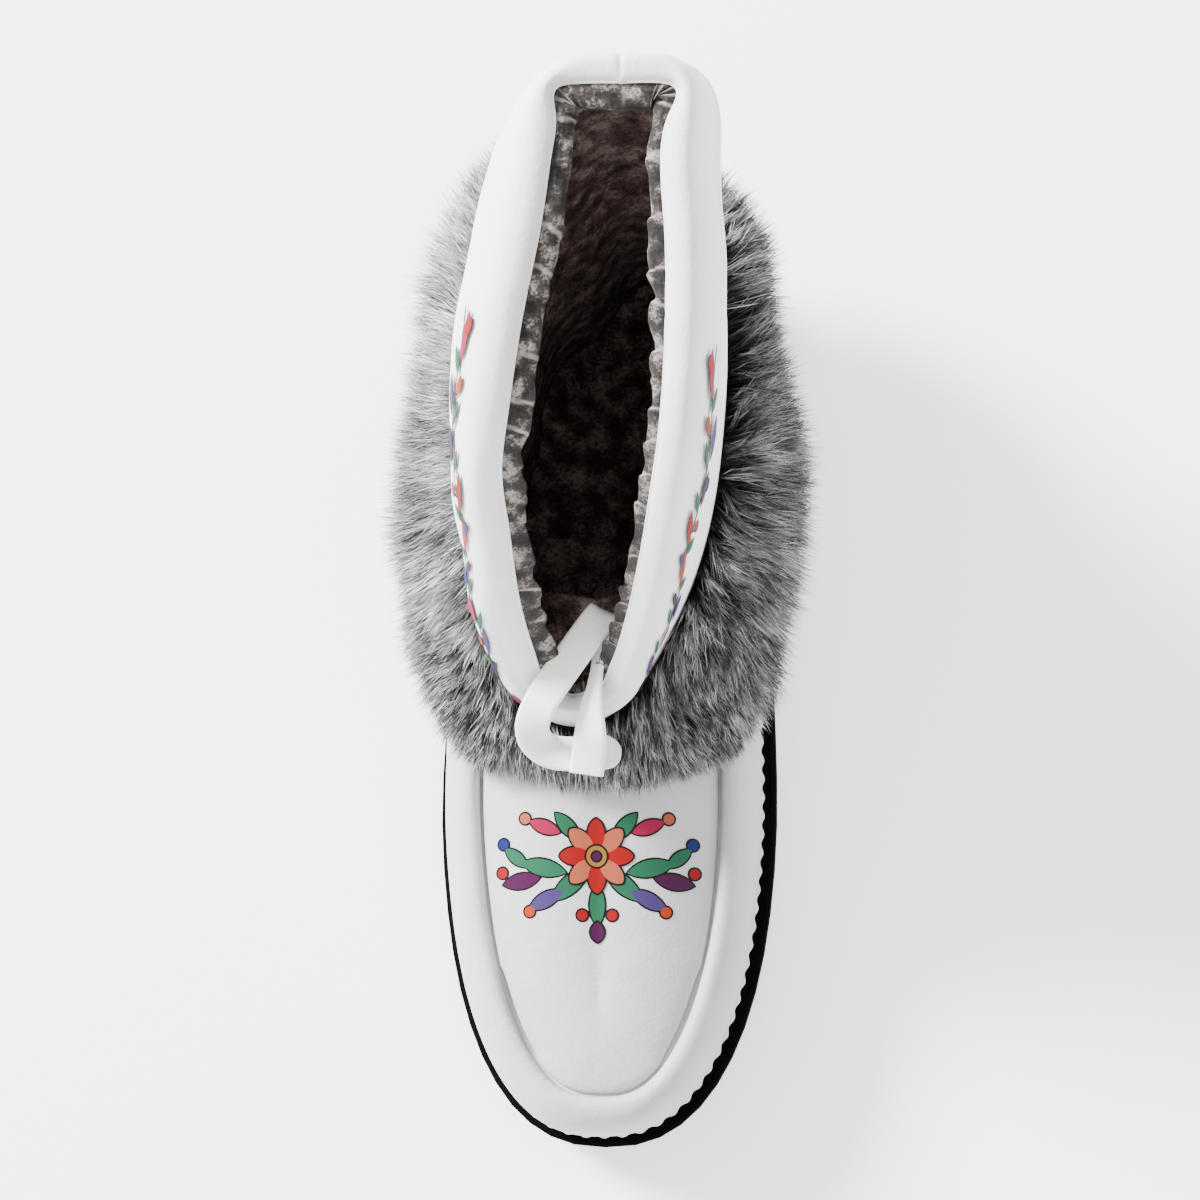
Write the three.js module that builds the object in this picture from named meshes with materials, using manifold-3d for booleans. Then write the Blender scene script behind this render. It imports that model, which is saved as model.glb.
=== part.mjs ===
// A winter mukluk boot for the right foot: a black rubber sole, a scalloped white welt, a soft white
// upper with a moccasin apron and an open, padded shaft, a deep fur cuff round the ankle, a plush insole
// and a flat white lace tied at the throat. Millimetres, +Z up, the toe towards -Y, the inner side of
// the foot towards +X. The origin is on the floor, half way along the sole.
import * as THREE from 'three';
import { mergeVertices } from 'three/addons/utils/BufferGeometryUtils.js';
import Module from 'manifold-3d';

const wasm = await Module();
wasm.setup();

// Driving dimensions
const SOLE_LENGTH = 290;
const BALL_HALF = 53;
const TOE_ROUND = 115; // length of the round toe, from its tip to the widest place
const HEEL_ROUND = 50;
const TOE_SPRING = 8;
const SPRING_START = 78; // how far from the tip the sole leaves the floor
const ARCH_LIFT = 3;
const GAP = 0.35; // between pieces that touch
const WALL = 3.6; // leather with its lining
const COLLAR_WALL = 5.5; // the padded shaft
const WELT_THICK = 1.8;
const WELT_INSET = 2.9; // middle of the scallops, in from the sole's edge
const WELT_INNER = 7.2;
const INNER_TUCK = 1.4; // how much further in from the sole's edge the upper stands on the inner side
const SCALLOP_PITCH = 5.8;
const SCALLOP_DEPTH = 0.6;
const INSOLE_INSET = 8.4;
const INSOLE_THICK = 5;
const SEAM_INSET = 16.6; // the apron seam, in from the sole's edge
const APRON_THICK = 1.4;
const APRON_BACK = -27; // the apron ends here, under the fur
const SHAFT_BASE = 58; // the shaft starts inside the foot at this height
const LACE_WIDTH = 10;
const LACE_THICK = 1.4;
const FOOT_COLUMNS = 40;
const SOLE_COLUMNS = 60;
const SHAFT_COLUMNS = 40;

// The last, at distances from the toe tip: half breadth of the sole, swing of its middle to the inner
// side, thickness of the sole, height of the apron seam and height of the foot's ridge
const LAST = [
  { from: 0, half: BALL_HALF, swing: 0, sole: 15, seam: 50, ridge: 50 },
  { from: 40, half: BALL_HALF, swing: 0, sole: 15.5, seam: 50, ridge: 53 },
  { from: 75, half: BALL_HALF, swing: 0, sole: 16, seam: 52, ridge: 60 },
  { from: 110, half: BALL_HALF, swing: 0, sole: 17, seam: 58, ridge: 73 },
  { from: 140, half: 51.5, swing: 0.5, sole: 18.5, seam: 70, ridge: 90 },
  { from: 175, half: 47.5, swing: 2.2, sole: 21, seam: 84, ridge: 106 },
  { from: 215, half: 42.5, swing: 5, sole: 23.5, seam: 88, ridge: 108 },
  { from: 250, half: 40, swing: 7.5, sole: 24, seam: 88, ridge: 108 },
  { from: 290, half: 39, swing: 9, sole: 24, seam: 88, ridge: 108 },
];

// Rows up the foot's side wall to the seam: inset from the sole's edge, share of the seam's height, how
// much of the inner side's tuck they have, and how much of an offset goes out and up there
const FEATHER = { inset: 3.8, rise: 0, tuck: 1, out: 1, up: 0 };
const SIDE_ROWS = [
  { inset: 3.4, rise: 0.28, tuck: 1, out: 1, up: 0 },
  { inset: 4.2, rise: 0.56, tuck: 1, out: 1, up: 0.1 },
  { inset: 6.4, rise: 0.79, tuck: 0.8, out: 0.85, up: 0.5 },
  { inset: 9.7, rise: 0.94, tuck: 0.5, out: 0.5, up: 0.85 },
  { inset: 13, rise: 1, tuck: 0.2, out: 0.1, up: 1 },
  { inset: 15.5, rise: 0.985, out: 0, up: 1 },
  { inset: SEAM_INSET, rise: 0.935, out: 0, up: 1 },
  { inset: SEAM_INSET + 1.2, rise: 0.965, out: 0, up: 1 },
];
// Rows over the apron, as shares of the way from the seam to the ridge
const APRON_ROWS = [0.2, 0.45, 0.72, 0.93];
const RIDGE_START = 48; // the ridge line's ends, from the toe tip
const RIDGE_END = 240;

// The shaft's collar, along its axis from the back to the throat: height of the rim, half breadth of the
// rim on the outer and inner side, and how far the shaft's belly stands out from the rim on each side.
// Skew moves the outer point forwards and the inner one back, which squares the back of the rim.
const COLLAR = [
  { along: -2, top: 226, outer: 0, inner: 0, outerLean: 6.5, innerLean: 6.5 },
  { along: -1.2, top: 226, outer: 11.5, inner: 11.5, skew: 1.6, outerLean: 6.5, innerLean: 6.5 },
  { along: 3.6, top: 225.5, outer: 18, inner: 17, skew: 2.4, outerLean: 7.5, innerLean: 7 },
  { along: 20, top: 224, outer: 19.3, inner: 18.6, outerLean: 12, innerLean: 9.5 },
  { along: 42, top: 221.5, outer: 19.5, inner: 23, outerLean: 14.5, innerLean: 9.8 },
  { along: 65, top: 216, outer: 21.2, inner: 26, outerLean: 14.4, innerLean: 9.5 },
  { along: 86, top: 206, outer: 22.3, inner: 27.2, outerLean: 13, innerLean: 9 },
  { along: 102, top: 190, outer: 23.4, inner: 26.2, outerLean: 10.6, innerLean: 8.8 },
  { along: 116, top: 170, outer: 21, inner: 24.5, outerLean: 10.3, innerLean: 7.8 },
  { along: 131, top: 146, outer: 18.2, inner: 21.4, outerLean: 9.7, innerLean: 6.2 },
  { along: 142, top: 124, outer: 14.6, inner: 17.4, outerLean: 7.8, innerLean: 5.2 },
  { along: 149.5, top: 106, outer: 10.6, inner: 12.2, outerLean: 6, innerLean: 4.6 },
  { along: 154, top: 94, outer: 0, inner: 0, outerLean: 4, innerLean: 4 },
];
const SHAFT_BACK = new THREE.Vector2(14.9, 136.5); // the rim at the back seam
const SHAFT_TURN = THREE.MathUtils.degToRad(8.2); // the shaft's axis, turned from the sole's
const BELLY_DROP = 26; // the belly lies this far under the rim
const THROAT_DROP = 10;
const BASE_OVAL = { middle: 77, half: 72, breadth: 33, power: 2.2 };
const LIP_IN = 4.6; // the rolled lip reaches in and down from the rim's top
const LIP_DOWN = 5;

// The fur cuff's outer edge round the ankle under its locks, as an angle from the toe turning over the
// inner side and the distance from FUR_MIDDLE; then the heights of its lower edge, belly and upper edge
const FUR_MIDDLE = new THREE.Vector2(0, 50);
const FUR = [
  { turn: 0, reach: 83, low: 68, belly: 77, high: 88 },
  { turn: 25, reach: 83, low: 62, belly: 72, high: 90 },
  { turn: 36, reach: 76, low: 57, belly: 70, high: 93 },
  { turn: 50, reach: 61, low: 54, belly: 70, high: 98 },
  { turn: 70, reach: 54, low: 52, belly: 72, high: 102 },
  { turn: 90, reach: 52.5, low: 52, belly: 74, high: 106 },
  { turn: 117, reach: 55.5, low: 52, belly: 76, high: 108 },
  { turn: 138, reach: 68, low: 53, belly: 78, high: 110 },
  { turn: 150, reach: 83, low: 53, belly: 79, high: 111 },
  { turn: 165, reach: 97, low: 54, belly: 80, high: 112 },
  { turn: 180, reach: 101, low: 54, belly: 80, high: 112 },
  { turn: 195, reach: 99, low: 54, belly: 80, high: 112 },
  { turn: 208, reach: 85, low: 53, belly: 79, high: 111 },
  { turn: 221, reach: 67, low: 53, belly: 78, high: 110 },
  { turn: 243, reach: 53, low: 52, belly: 76, high: 108 },
  { turn: 270, reach: 51.5, low: 52, belly: 74, high: 106 },
  { turn: 298, reach: 57, low: 53, belly: 71, high: 101 },
  { turn: 318, reach: 69, low: 56, belly: 70, high: 96 },
  { turn: 333, reach: 82, low: 62, belly: 72, high: 91 },
  { turn: 346, reach: 82, low: 66, belly: 75, high: 88 },
  { turn: 360, reach: 83, low: 68, belly: 77, high: 88 },
];
const FUR_COLUMNS = 40;
const LOCK_LENGTH = 9; // how far a lock's tip stands out of the cuff
const LOCK_RADIUS = 5.6;
const LOCK_SIDES = 5;
const LOCKS_PER_ROW = 28;
const LOCK_ROWS = [
  { share: 0.05, droop: -0.6 },
  { share: 0.35, droop: -0.3 },
  { share: 0.72, droop: 0.15 },
];

// The lace's middle line, chosen by hand, with the way its width lies at each point
const LACE_BAR = [
  { at: [10.5, -26.6, 91.5], across: [0.25, 0.96, 0.1] },
  { at: [3, -28.2, 92.2], across: [0.1, 0.99, 0.1] },
  { at: [-6, -28.8, 92.6], across: [0, 1, 0.1] },
  { at: [-14, -27.4, 93], across: [-0.25, 0.95, 0.15] },
];
const LACE_LOOP = [
  { at: [-18.6, -24.4, 97.2], across: [-0.72, 0.66, 0.1] },
  { at: [-14, -16.4, 108], across: [-0.84, 0.53, 0.1] },
  { at: [-6.4, -6, 112.6], across: [-0.85, 0.52, 0.1] },
  { at: [1, 4, 117.6], across: [-0.85, 0.52, 0.05] },
  { at: [4.8, 8.6, 119.4], across: [-0.9, 0.43, 0] },
  { at: [5.6, 9.2, 117.2], across: [-0.95, 0.3, 0] },
  { at: [3.4, 5, 114.2], across: [-0.98, 0.15, 0] },
  { at: [0.6, -5, 110.6], across: [-0.98, 0.1, 0.05] },
  { at: [-0.6, -14, 108.6], across: [-0.98, 0.1, 0.05] },
];
const LACE_END = [
  { at: [-0.7, -15.3, 108.1], across: [-0.98, 0.1, 0.05] },
  { at: [-1, -22.8, 102.4], across: [-0.98, 0.1, 0.1] },
  { at: [-1, -29, 97], across: [-0.98, 0.05, 0.1] },
  { at: [-1.4, -34.6, 93.6], across: [-0.98, 0.05, 0.1] },
];

const lerp = THREE.MathUtils.lerp;
const TURN = 2 * Math.PI;

// Smooth value of a table's column at a place along it
function read(table, along, name, place) {
  const last = table.length - 1;
  if (place <= table[0][along]) return table[0][name];
  if (place >= table[last][along]) return table[last][name];
  let i = 0;
  while (table[i + 1][along] < place) i++;
  const slope = (p, q) => (table[q][name] - table[p][name]) / (table[q][along] - table[p][along]);
  const span = table[i + 1][along] - table[i][along];
  const t = (place - table[i][along]) / span;
  const leave = slope(Math.max(i - 1, 0), i + 1) * span;
  const arrive = slope(i, Math.min(i + 2, last)) * span;
  const [a, b] = [table[i][name], table[i + 1][name]];
  const cube = 2 * a - 2 * b + leave + arrive;
  const square = -3 * a + 3 * b - 2 * leave - arrive;
  return ((cube * t + square) * t + leave) * t + a;
}

const last = (name, y) => read(LAST, 'from', name, y + SOLE_LENGTH / 2);
const roundEnd = (share, power) => (share >= 1 ? 1 : (1 - (1 - share) ** power) ** (1 / power));

// Point of the sole's edge: angle 0 at the toe tip, over the inner side to the heel at half a turn
function edge(angle) {
  const from = (SOLE_LENGTH * (1 - Math.cos(angle))) / 2;
  const half = read(LAST, 'from', 'half', from)
    * roundEnd(from / TOE_ROUND, 2.4) * roundEnd((SOLE_LENGTH - from) / HEEL_ROUND, 2.3);
  return new THREE.Vector2(read(LAST, 'from', 'swing', from) + Math.sign(Math.sin(angle)) * half,
    from - SOLE_LENGTH / 2);
}

function outline(angle, inset) {
  const step = 0.02;
  const way = edge(angle + step).sub(edge(angle - step)).normalize();
  return edge(angle).add(new THREE.Vector2(-way.y, way.x).multiplyScalar(inset));
}

// Height of the sole's underside and of its top along the shoe
function spring(y) {
  const free = Math.max(0, SPRING_START - (y + SOLE_LENGTH / 2)) / SPRING_START;
  return TOE_SPRING * free ** 2;
}

function underside(y) {
  const arch = Math.max(0, 1 - Math.abs(y - 34) / 28);
  return spring(y) + ARCH_LIFT * arch * arch * (3 - 2 * arch);
}

const soleTop = (y) => spring(y) + last('sole', y);
const featherHeight = (y) => soleTop(y) + WELT_THICK + 2 * GAP;

// Geometry of a solid from rings of points that run the same way round. Rings are joined in turn; the
// first and last are either joined to each other or closed by rungs from one side to the other.
function loft(rings, closedLoop = false) {
  const count = rings[0].length;
  const positions = rings.flat().flatMap((p) => [p.x, p.y, p.z]);
  const index = [];
  const joins = closedLoop ? rings.length : rings.length - 1;
  for (let r = 0; r < joins; r++) {
    const [low, high] = [r * count, ((r + 1) % rings.length) * count];
    for (let i = 0; i < count; i++) {
      const j = (i + 1) % count;
      index.push(low + i, low + j, high + j, low + i, high + j, high + i);
    }
  }
  if (!closedLoop) {
    const top = (rings.length - 1) * count;
    for (let i = 0; i < count / 2; i++) {
      const [a, b, c, d] = [i, i + 1, (count - i - 1) % count, (count - i) % count];
      if (b !== c) index.push(b, a, c, top + a, top + b, top + c);
      if (i > 0) index.push(a, d, c, top + d, top + a, top + c);
    }
  }
  const geometry = new THREE.BufferGeometry();
  geometry.setAttribute('position', new THREE.Float32BufferAttribute(positions, 3));
  geometry.setIndex(index);
  return geometry;
}

function solid(geometry) {
  geometry.deleteAttribute('normal');
  geometry.deleteAttribute('uv');
  const merged = mergeVertices(geometry, 1e-4);
  const mesh = new wasm.Mesh({
    numProp: 3,
    vertProperties: new Float32Array(merged.attributes.position.array),
    triVerts: new Uint32Array(merged.index.array),
  });
  mesh.merge();
  return new wasm.Manifold(mesh);
}

function piece(name, body, look) {
  const { vertProperties, triVerts, numProp } = body.getMesh();
  const positions = new Float32Array((vertProperties.length / numProp) * 3);
  for (let i = 0; i < positions.length; i++) {
    positions[i] = vertProperties[Math.floor(i / 3) * numProp + (i % 3)];
  }
  const geometry = new THREE.BufferGeometry();
  geometry.setAttribute('position', new THREE.BufferAttribute(positions, 3));
  geometry.setIndex(new THREE.BufferAttribute(new Uint32Array(triVerts), 1));
  geometry.computeVertexNormals();
  const mesh = new THREE.Mesh(geometry, look);
  mesh.name = name;
  return mesh;
}

// The largest body of a boolean result, without slivers
function largest(body) {
  return body.decompose().reduce((best, next) => (next.volume() > best.volume() ? next : best));
}

// How far in the upper's edge moves at an angle round the shoe
function tuckAt(angle) {
  const t = Math.min(Math.max((Math.sin(angle) + 0.35) / 0.9, 0), 1);
  return INNER_TUCK * t * t * (3 - 2 * t);
}

// Ring round the foot at one inset and height rule
function footRing(columns, inset, height, tuck = 0) {
  return Array.from({ length: columns }, (_, i) => {
    const angle = (TURN * i) / columns;
    const p = outline(angle, inset + tuck * tuckAt(angle));
    return new THREE.Vector3(p.x, p.y, height(p.y));
  });
}

// The filled foot, offset outwards by grow. An inner form starts lower, so that it cuts right through.
// The cavity has no tuck, so the wall is thinner on the inner side.
function footForm(grow, tucked = 1) {
  const start = grow < 0 ? -8 : 0;
  const rings = [footRing(FOOT_COLUMNS, FEATHER.inset - grow, (y) => featherHeight(y) + start,
    FEATHER.tuck * tucked)];
  for (const row of SIDE_ROWS) {
    rings.push(footRing(FOOT_COLUMNS, row.inset - grow * row.out,
      (y) => lerp(featherHeight(y), last('seam', y), row.rise) + grow * row.up,
      (row.tuck ?? 0) * tucked));
  }
  const seamRing = rings[rings.length - 1];
  for (const share of APRON_ROWS) {
    rings.push(seamRing.map((p, i) => {
      const along = (1 - Math.cos((TURN * i) / FOOT_COLUMNS)) / 2;
      const ridge = lerp(RIDGE_START, RIDGE_END, along) - SOLE_LENGTH / 2;
      const crown = 1 - (1 - share) ** 2;
      return new THREE.Vector3(
        lerp(p.x, last('swing', ridge), share),
        lerp(p.y, ridge, share),
        lerp(p.z, last('ridge', ridge) + grow, crown),
      );
    }));
  }
  return solid(loft(rings));
}

// From the shaft's own axes, along it from the back and across it to the inner side, to the shoe's
function onShaft(along, across) {
  const [s, c] = [Math.sin(SHAFT_TURN), Math.cos(SHAFT_TURN)];
  return new THREE.Vector2(SHAFT_BACK.x - along * s + across * c, SHAFT_BACK.y - along * c - across * s);
}

// Rim points in order from the back, down the outer side to the throat and up the inner side
function collarRows() {
  const outer = COLLAR.map((row) => ({
    ...row, along: row.along + (row.skew ?? 0), across: -row.outer, lean: row.outerLean,
  }));
  const inner = COLLAR.slice(1, -1).reverse().map((row) => ({
    ...row, along: row.along - (row.skew ?? 0), across: row.inner, lean: row.innerLean,
  }));
  return [...outer, ...inner];
}

// The shaft's columns: for each, the rim's place, the way out of the shaft, and the heights there
function shaftColumns() {
  const rows = collarRows();
  const path = new THREE.CatmullRomCurve3(
    rows.map((row) => new THREE.Vector3(row.along, row.across, row.top)), true, 'centripetal');
  const lean = new THREE.CatmullRomCurve3(
    rows.map((row) => new THREE.Vector3(row.lean, 0, 0)), true, 'centripetal');
  const throat = (COLLAR.length - 1) / rows.length;
  return Array.from({ length: SHAFT_COLUMNS }, (_, i) => {
    const half = SHAFT_COLUMNS / 2;
    const t = i <= half ? (throat * i) / half : throat + ((1 - throat) * (i - half)) / half;
    const at = path.getPoint(t);
    const way = path.getTangent(t);
    const out = new THREE.Vector2(way.y, -way.x).normalize();
    const angle = Math.PI * (i / half);
    const oval = (v) => Math.sign(v) * Math.abs(v) ** (2 / BASE_OVAL.power);
    const base = onShaft(BASE_OVAL.middle - BASE_OVAL.half * oval(Math.cos(angle)),
      -BASE_OVAL.breadth * oval(Math.sin(angle)));
    return { at, out, lean: lean.getPoint(t).x, base };
  });
}

const columns = shaftColumns();

// One ring of the shaft: stand is how far it lies outside the rim's top, drop how far under it
function shaftRing(stand, drop) {
  return columns.map((c) => {
    const flat = onShaft(c.at.x + c.out.x * stand(c), c.at.y + c.out.y * stand(c));
    return new THREE.Vector3(flat.x, flat.y, c.at.z - drop(c));
  });
}

const throatShare = (c) => THREE.MathUtils.smoothstep(c.at.x, 110, 150);
const bellyDrop = (c) => lerp(BELLY_DROP, THROAT_DROP, throatShare(c));

// Ring between the base oval and the belly, moved in by inset
function wallRing(share, inset) {
  const belly = shaftRing((c) => c.lean - inset, bellyDrop);
  return columns.map((c, i) => {
    const middle = onShaft(BASE_OVAL.middle, 0);
    const base = c.base.clone().sub(middle);
    base.setLength(base.length() - inset).add(middle);
    return new THREE.Vector3(base.x, base.y, SHAFT_BASE).lerp(belly[i], share);
  });
}

function shaftOuterRings(grow) {
  const rows = [0, 0.3, 0.62].map((share) => wallRing(share, -grow));
  rows.push(shaftRing((c) => c.lean + grow, bellyDrop));
  rows.push(shaftRing((c) => c.lean * 0.9 + grow, (c) => bellyDrop(c) * 0.6));
  rows.push(shaftRing((c) => c.lean * 0.62 + grow, (c) => bellyDrop(c) * 0.26));
  rows.push(shaftRing((c) => c.lean * 0.3 + grow, () => 1.3 - grow));
  return rows;
}

// The padded wall: up the outside, over the rolled rim and down the inside
function shaftTube() {
  const inside = (c) => c.lean - COLLAR_WALL;
  return solid(loft([
    ...shaftOuterRings(0),
    shaftRing(() => 0, () => 0),
    shaftRing(() => -LIP_IN * 0.7, () => 1.4),
    shaftRing(() => -LIP_IN, () => LIP_DOWN),
    shaftRing((c) => lerp(-LIP_IN, inside(c), 0.45), (c) => bellyDrop(c) * 0.5 + 2),
    shaftRing(inside, (c) => bellyDrop(c) + 2),
    ...[0.62, 0.3, 0].map((share) => wallRing(share, COLLAR_WALL)),
  ], true));
}

// What the shaft's inside takes out of the foot: its inner wall, carried on above the rim
function shaftPlug() {
  const inside = (c) => c.lean - COLLAR_WALL + 0.5;
  const rings = [0, 0.3, 0.62].map((share) => wallRing(share, COLLAR_WALL - 0.5));
  rings.push(shaftRing(inside, (c) => bellyDrop(c) + 2));
  rings.push(shaftRing(() => -LIP_IN + 0.5, () => LIP_DOWN));
  return solid(loft(rings.map((ring) => [...ring])));
}

// Upright prism inside the apron seam, cut straight across at the back
function apronPrism(clearance) {
  const steps = 36;
  const back = APRON_BACK - clearance;
  const points = [];
  for (let i = -steps; i <= steps; i++) {
    const p = outline((Math.PI * 0.62 * i) / steps, SEAM_INSET + clearance);
    if (p.y < back - 1) points.push(p);
  }
  points.push(new THREE.Vector2(points[points.length - 1].x, back));
  points.push(new THREE.Vector2(points[0].x, back));
  const geometry = new THREE.ExtrudeGeometry(new THREE.Shape(points), { depth: 130, bevelEnabled: false });
  return solid(geometry);
}

function makeUpper() {
  const foot = footForm(0);
  const cavity = footForm(-WALL, 0);
  const recess = apronPrism(-GAP / 2).subtract(footForm(-APRON_THICK - 1.4 * GAP));
  const shell = foot.subtract(cavity).subtract(shaftPlug()).subtract(recess);
  return largest(shell.add(shaftTube().subtract(cavity)));
}

function makeApron() {
  return largest(footForm(0).subtract(footForm(-APRON_THICK)).intersect(apronPrism(GAP / 2)));
}

// Rows up the side of the sole: share of its thickness, and inset. The steps are two ribs and a lip.
const SOLE_ROWS = [
  { share: 0, inset: 3.2 }, { share: 0.1, inset: 1.2 }, { share: 0.3, inset: 0.5 }, { share: 0.34, inset: 1.9 },
  { share: 0.42, inset: 1.9 }, { share: 0.46, inset: 0.2 }, { share: 0.66, inset: 0 }, { share: 0.7, inset: 1.3 },
  { share: 0.78, inset: 1.3 }, { share: 0.82, inset: 0 }, { share: 0.95, inset: 0.3 }, { share: 1, inset: 1.5 },
];
const TREAD = { width: 3.4, depth: 3, reach: 70, slope: 14 };
const GROOVES = { forefoot: { from: -118, step: 14.5, count: 8 }, heel: { from: 62, step: 15, count: 5 } };

function makeSole() {
  const body = solid(loft(SOLE_ROWS.map((row) => footRing(SOLE_COLUMNS, row.inset,
    (y) => lerp(underside(y), soleTop(y), row.share)))));
  const cuts = [];
  for (const { from, step, count } of Object.values(GROOVES)) {
    for (let i = 0; i < count; i++) {
      const y = from + step * i;
      for (const side of [-1, 1]) {
        const bar = new THREE.BoxGeometry(TREAD.reach, TREAD.width, 2 * TREAD.depth);
        bar.translate((side * TREAD.reach) / 2 - side, 0, 0);
        bar.rotateZ(side * THREE.MathUtils.degToRad(TREAD.slope));
        bar.translate(last('swing', y), y, underside(y));
        cuts.push(solid(bar));
      }
    }
  }
  return largest(body.subtract(wasm.Manifold.union(cuts)));
}

// Strip on the sole's edge, its outer side scalloped at an even pitch, thinned out towards its inner side
function makeWelt() {
  const fine = 1440;
  const run = [0];
  for (let i = 1; i <= fine; i++) {
    const [p, q] = [i, i - 1].map((k) => outline((TURN * k) / fine, WELT_INSET + tuckAt((TURN * k) / fine)));
    run.push(run[i - 1] + p.distanceTo(q));
  }
  const scallops = Math.round(run[fine] / SCALLOP_PITCH);
  const rings = [[], [], []];
  let j = 0;
  for (let i = 0; i < 2 * scallops; i++) {
    while (run[j + 1] < (run[fine] * i) / (2 * scallops)) j++;
    const angle = (TURN * j) / fine;
    const outer = outline(angle, WELT_INSET + tuckAt(angle) + (i % 2 ? SCALLOP_DEPTH : -SCALLOP_DEPTH));
    const inner = outline(angle, WELT_INNER);
    [[inner, 0.5], [outer, 0], [outer, 1]].forEach(([p, up], r) => {
      rings[r].push(new THREE.Vector3(p.x, p.y, soleTop(p.y) + GAP + WELT_THICK * up));
    });
  }
  return solid(loft(rings, true));
}

function makeInsole() {
  const rows = [{ up: 0, in: 0.6 }, { up: 0.25, in: 0 }, { up: 0.8, in: 0 }, { up: 1, in: 1.2 }];
  return solid(loft(rows.map((row) => footRing(SOLE_COLUMNS / 2, INSOLE_INSET + row.in,
    (y) => soleTop(y) + 2 * GAP + INSOLE_THICK * row.up))));
}

// Flat strap through points that also say how its width lies
function strap(stations, width, thick, steps) {
  const middle = new THREE.CatmullRomCurve3(stations.map((s) => new THREE.Vector3(...s.at)));
  const across = new THREE.CatmullRomCurve3(stations.map((s) => new THREE.Vector3(...s.across)));
  const rings = [];
  for (let i = 0; i <= steps; i++) {
    const t = i / steps;
    const side = across.getPoint(t).normalize();
    const face = middle.getTangent(t).cross(side).normalize();
    const [w, h] = [side.multiplyScalar(width / 2), face.multiplyScalar(thick / 2)];
    const corner = (a, b) => middle.getPoint(t).addScaledVector(w, a).addScaledVector(h, b);
    rings.push([corner(-1, -1), corner(1, -1), corner(1, 1), corner(-1, 1)]);
  }
  return outward(solid(loft(rings)));
}

// A closed mesh whose faces point in has a volume under zero, so its triangles are turned round
function outward(body) {
  if (body.volume() > 0) return body;
  const mesh = body.getMesh();
  const triVerts = new Uint32Array(mesh.triVerts);
  for (let i = 0; i < triVerts.length; i += 3) {
    [triVerts[i + 1], triVerts[i + 2]] = [triVerts[i + 2], triVerts[i + 1]];
  }
  return new wasm.Manifold(new wasm.Mesh({ numProp: 3, vertProperties: mesh.vertProperties, triVerts }));
}

const LACES = [
  { name: 'lace_bar', stations: LACE_BAR, steps: 8 },
  { name: 'lace_loop', stations: LACE_LOOP, steps: 24 },
  { name: 'lace_end', stations: LACE_END, steps: 8 },
];

// Point on the fur's skirt: share 0 at its lower edge, 1 at its upper edge by the shaft
function furPoint(turn, share) {
  const degrees = THREE.MathUtils.euclideanModulo(turn, 360);
  const at = (name) => read(FUR, 'turn', name, degrees);
  const rows = [
    { share: 0, reach: 0.95, height: at('low') },
    { share: 0.3, reach: 1, height: lerp(at('low'), at('belly'), 0.6) },
    { share: 0.65, reach: 0.96, height: lerp(at('belly'), at('high'), 0.45) },
    { share: 1, reach: 0.8, height: at('high') },
  ];
  const angle = THREE.MathUtils.degToRad(degrees);
  const reach = at('reach') * read(rows, 'share', 'reach', share);
  return new THREE.Vector3(FUR_MIDDLE.x + Math.sin(angle) * reach, FUR_MIDDLE.y - Math.cos(angle) * reach,
    read(rows, 'share', 'height', share));
}

function makeFur() {
  const ring = (share, shrink, lift) => Array.from({ length: FUR_COLUMNS }, (_, i) => {
    const p = furPoint((360 * i) / FUR_COLUMNS, share);
    return new THREE.Vector3(lerp(p.x, FUR_MIDDLE.x, shrink), lerp(p.y, FUR_MIDDLE.y, shrink), p.z + lift);
  });
  let fur = solid(loft([ring(0, 0.55, 4), ring(0, 0, 0), ring(0.3, 0, 0), ring(0.65, 0, 0), ring(1, 0, 0),
    ring(1, 0.4, 2)]));
  const locks = [];
  LOCK_ROWS.forEach((row, r) => {
    for (let i = 0; i < LOCKS_PER_ROW; i++) {
      const turn = (360 * (i + (r % 2) / 2)) / LOCKS_PER_ROW;
      const root = furPoint(turn, row.share);
      const out = new THREE.Vector3(root.x - FUR_MIDDLE.x, root.y - FUR_MIDDLE.y, 0).normalize();
      const way = out.add(new THREE.Vector3(0, -0.25, row.droop)).normalize();
      const lock = new THREE.ConeGeometry(LOCK_RADIUS, 2 * LOCK_LENGTH, LOCK_SIDES);
      lock.translate(0, LOCK_LENGTH * 0.1 * Math.sin(7 * i + 3 * r), 0);
      lock.applyQuaternion(new THREE.Quaternion().setFromUnitVectors(new THREE.Vector3(0, 1, 0), way));
      lock.translate(root.x, root.y, root.z);
      locks.push(solid(lock));
    }
  });
  fur = fur.add(wasm.Manifold.union(locks));
  const clear = [footForm(2 * GAP), solid(loft(shaftOuterRings(2 * GAP)))];
  for (const { stations, steps } of LACES) {
    clear.push(strap(stations, LACE_WIDTH + 3 * GAP, LACE_THICK + 2 * GAP, steps));
  }
  return largest(fur.subtract(wasm.Manifold.union(clear)));
}

// Materials
const look = (color, roughness) => new THREE.MeshStandardMaterial({ color, roughness, metalness: 0 });
const LEATHER = look(0xe9eaea, 0.55);
const RUBBER = look(0x0b0b0b, 0.6);
const WELT_WHITE = look(0xf4f4f2, 0.5);
const FUR_GREY = look(0x8b8b8b, 0.95);
const PLUSH = look(0x2b1e1f, 1);
const LACE_WHITE = look(0xf3f3f1, 0.8);

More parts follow.
